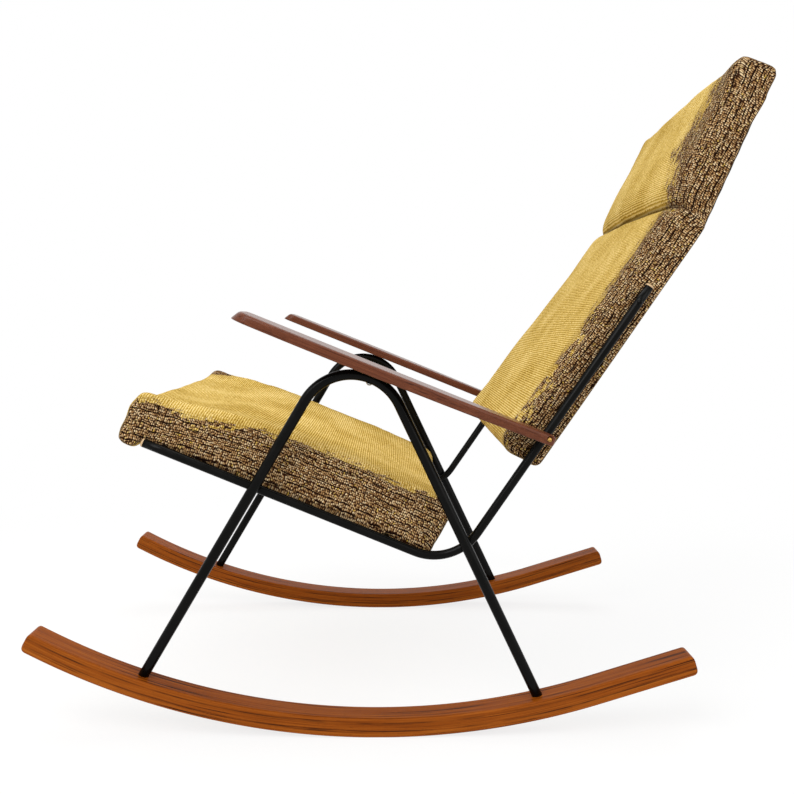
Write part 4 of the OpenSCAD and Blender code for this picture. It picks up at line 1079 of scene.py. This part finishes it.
def coverStiles(points):
    # The cover lies over the stiles: w >= their front + the cover wherever |y| is within them
    u, y, w = points.T
    within = (np.abs(y) > back["stileInner"]) & (np.abs(y) < chair["frameY"] + back["stilePast"])
    within &= (u > back["stileFromU"]) & (u < back["stileAt"][-1]) & (w > back["stileFromW"])
    lowest = np.interp(u, back["stileAt"], back["stileFront"]) + back["stileCover"]
    return np.stack([u, y, np.where(within, np.maximum(w, lowest), w)], -1)


def drawInSeam(points):
    # A V across the front, depth * exp(-distance / width), that is shallower on the sides
    across = 1 - softStep(*back["creaseSide"], np.abs(points[:, 1]) - chair["cushionY"])
    share = back["creaseSideShare"] + (1 - back["creaseSideShare"]) * across
    depth = back["creaseDepth"] * np.exp(-seamDistance(points) / back["creaseWidth"])
    drawn = points.copy()
    drawn[:, 2] -= softStep(*back["creaseFront"], points[:, 2]) * depth * share
    return drawn


print("back cushion")
thick, rear = back["thick"], back["rear"]
backLoop = evenLoop(roundedLoop(
    [[back["start"], -rear, thick * back["startRadius"]]]
    + shareCorners(back["front"], back["start"], -rear, back["length"], thick, thick)
    + [[seamAt, back["seamHeight"] * thick - rear, thick * back["seamRadius"]]]
    + shareCorners(back["headFront"], seamAt, -rear, back["head"], thick, thick)
    + [[headEnd + back["topRise"], back["lean"] - rear, thick * back["endRadius"]]]
    + [[seamAt, -rear, thick * back["bendRadius"]]]
), cushionGrid["loopStep"])
crownU = [seamAt + k * back["head"] for k in back["crownAt"]]
crown = [k * back["headCrown"] for k in back["crownShares"]]
backPiece = newPiece("back_upholstery", sweptCushion(backLoop, back, crownU, crown), wool)
puffUp(backPiece, back, lambda p: p[:, 2] < rearAt(p[:, 0]) + back["heldW"])
writePoints(backPiece.data, wearBack(readPoints(backPiece.data)))
smoothOut(backPiece)
writePoints(backPiece.data, drawInSeam(coverStiles(readPoints(backPiece.data))))

# The hollow for the frame leaves the padding over it, and is open to the rear
hollowStart, hollowEnd = back["start"] + back["endPad"], headEnd - back["endPad"]
padW, behind = -rear - back["pad"], -back["hollowBehind"]
hollow = [[hollowStart, back["front"][0][1] * thick - rear - 1.5 * back["pad"]]]
hollow += [c[:2] for c in shareCorners(back["front"][1:], back["start"], padW, back["length"], thick, 0)]
hollow += [[seamAt, back["seamHeight"] * thick + padW]]
hollow += [c[:2] for c in shareCorners(back["headFront"][:3], seamAt, padW, back["head"], thick, 0)]
hollow += [[hollowEnd, hollow[-1][1]], [hollowEnd, float(rearAt(hollowEnd)) + behind]]
hollow += [[seamAt, behind - rear], [hollowStart, behind - rear]]
cutAway(backPiece, [crossRings(hollow, -chair["frameY"], chair["frameY"])])
points = readPoints(backPiece.data)
# Distance from the seam, for its dark thread and the painted shade of its crease. Away from the front it
# grows by creaseBeyond, so both show on the front only
fromSeam = seamDistance(points) + back["creaseBeyond"] * (1 - softStep(*back["creaseFront"], points[:, 2]))
writePlace(backPiece.data, "clothPlace", clothPlaces(backPiece.data, backLoop, back["clothStart"]))
yellowHalf = np.interp(points[:, 0], back["yellowAt"], back["yellowHalf"])
yellowHalf = np.where(points[:, 1] > 0, back["farHalf"], yellowHalf)
ragged = np.interp(points[:, 0], back["yellowAt"], back["ragged"])
writePlace(backPiece.data, "clothEdge", np.stack([
    clothWidth(backPiece.data, backLoop) - yellowHalf, ragged, fromSeam], -1))
writePoints(backPiece.data, toWorld(points, chair["railCorner"], chair["backSlope"]))
backPiece.data.shade_smooth()
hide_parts("back_cushion")

print("lining")
liningShape = {
    "gap": 0.0003, "thick": 0.0012, "sag": 0.0035, "pucker": 0.0005, "tackMm": 26, "tackReach": 0.02,
    "slatFrom": (0.012, 0.1), "rows": 150, "columns": 130,
}
halfLining, gap = chair["frameY"] - liningShape["gap"], liningShape["gap"]
u, y = np.meshgrid(np.linspace(hollowStart + gap, hollowEnd - gap, liningShape["rows"]),
                   np.linspace(-halfLining, halfLining, liningShape["columns"]), indexing="ij")
# w = rear face + half the thickness + sag * (product of the distances from the edges and from the slat
# behind the seam) + puckers that die out away from the tacks
fromSide = np.minimum((halfLining - np.abs(y)) / liningShape["tackReach"], 1)
fromEnds = np.minimum(np.minimum(u - u.min(), u.max() - u) / liningShape["tackReach"], 1)
pull = np.cos(2 * math.pi * 1000 * u / liningShape["tackMm"]) * (1 - fromSide) ** 2
pull += np.cos(2 * math.pi * 1000 * y / liningShape["tackMm"]) * (1 - fromEnds) ** 2
belly = (1 - (y / halfLining) ** 2) * np.sin(math.pi * (u - u.min()) / np.ptp(u)) ** 0.5
belly *= softStep(*liningShape["slatFrom"], np.abs(u - seamAt))
w = rearAt(u) + liningShape["thick"] / 2 + liningShape["sag"] * belly + liningShape["pucker"] * (1 + pull) / 2
rows = toWorld(np.stack([u, y, w], -1), chair["railCorner"], chair["backSlope"])
liningPiece = newSheet("back_lining_cloth", rows, lining)
wall = liningPiece.modifiers.new("wall", "SOLIDIFY")
wall.thickness, wall.offset = liningShape["thick"], 0
settle(liningPiece)
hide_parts("back_lining")


# CAD nodes that keep their shape

print("frame parts")
finishes = {
    "front_crossbar": enamel, "rear_crossbar": enamel,
    "foot_plugs": zinc, "runner_bolts": zinc, "arm_crown_screws": zinc, "back_upper_screws": enamel,
    "seat_board_screws": zinc, "arm_back_screws": brass, "rail_end_caps": capPlastic,
    "seat_board": pine, "seat_nose_rail": pine, "back_stile_left": pine, "back_stile_right": pine,
    "back_lower_slat": pine, "back_middle_slat": pine, "back_top_slat": pine,
    "back_straps": webbing,
}
for name, material in finishes.items():
    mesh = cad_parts[name].data
    mesh.materials.clear()
    mesh.materials.append(material)


# Studio

studio = {
    "floorHalf": 14.0, "floorDrop": 0.0002, "floorColour": "#F4F4F3", "world": 0.48, "aim": (0.0, 0.0, 0.45),
    "whiteFrom": (0.7, 1.6), "nearWhite": 0.8,    # radii between which the floor turns plain white
    "lamps": [
        ("key", (-1.5, -2.2, 2.8), 2.4, 94),
        ("fill", (2.2, -2.0, 1.6), 2.2, 30),
        ("top", (0.3, 0.6, 3.2), 2.6, 50),
    ],
}


def seenRays(tree):
    # 1 for what the camera sees, directly or in a gloss, and 0 for light that falls on the chair
    rays = addNode(tree, "ShaderNodeLightPath", {}).node.outputs
    seen = rays["Is Camera Ray"]
    for kind in ("Is Glossy Ray", "Is Transmission Ray"):
        seen = addNode(tree, "ShaderNodeMath", {"operation": "MAXIMUM", 0: seen, 1: rays[kind]})
    return seen


def makeFloor():
    # White painted floor. It catches the shadow near the chair and is plain white further off
    material, tree = startMaterial("Matt white floor")
    place = addNode(tree, "ShaderNodeTexCoord", {}, "Object")
    away = addNode(tree, "ShaderNodeVectorMath", {"operation": "LENGTH", 0: place}, "Value")
    far = addNode(tree, "ShaderNodeMapRange", {
        "interpolation_type": "SMOOTHSTEP", "Value": away, "From Min": studio["whiteFrom"][0],
        "From Max": studio["whiteFrom"][1], "To Min": studio["nearWhite"]})
    share = addNode(tree, "ShaderNodeMath", {"operation": "MULTIPLY", 0: seenRays(tree), 1: far})
    matt = addNode(tree, "ShaderNodeBsdfDiffuse", {"Color": linearColour(studio["floorColour"])})
    white = addNode(tree, "ShaderNodeEmission", {"Color": (1, 1, 1, 1), "Strength": 1.0})
    mixed = addNode(tree, "ShaderNodeMixShader", {0: share, 1: matt, 2: white})
    addNode(tree, "ShaderNodeOutputMaterial", {"Surface": mixed})
    return material


print("studio")
half = studio["floorHalf"]
floorMesh = bpy.data.meshes.new("floor")
corners = [(-half, -half, 0), (half, -half, 0), (half, half, 0), (-half, half, 0)]
floorMesh.from_pydata(corners, [], [(0, 1, 2, 3)])
floorMesh.materials.append(makeFloor())
floor = bpy.data.objects.new("floor", floorMesh)
floor.location.z = -studio["floorDrop"]
bpy.context.scene.collection.objects.link(floor)

for name, place, size, power in studio["lamps"]:
    lampData = bpy.data.lights.new(name, "AREA")
    lampData.shape, lampData.size, lampData.energy = "SQUARE", size, power
    lamp = bpy.data.objects.new(name, lampData)
    lamp.location = place
    toChair = np.array(studio["aim"]) - np.array(place)
    lamp.rotation_euler = (math.atan2(math.hypot(toChair[0], toChair[1]), -toChair[2]), 0,
                           math.atan2(toChair[0], -toChair[1]) + math.pi)
    lamp.rotation_mode = "XYZ"
    bpy.context.scene.collection.objects.link(lamp)

world = bpy.data.worlds.new("studio")
world.use_nodes = True
world.node_tree.nodes.clear()
level = addNode(world.node_tree, "ShaderNodeMix", {
    "data_type": "FLOAT", 0: seenRays(world.node_tree), 2: studio["world"], 3: 1.0})
light = addNode(world.node_tree, "ShaderNodeBackground", {"Color": (1, 1, 1, 1), "Strength": level})
addNode(world.node_tree, "ShaderNodeOutputWorld", {"Surface": light})
bpy.context.scene.world = world
bpy.context.scene.view_settings.view_transform = "Standard"
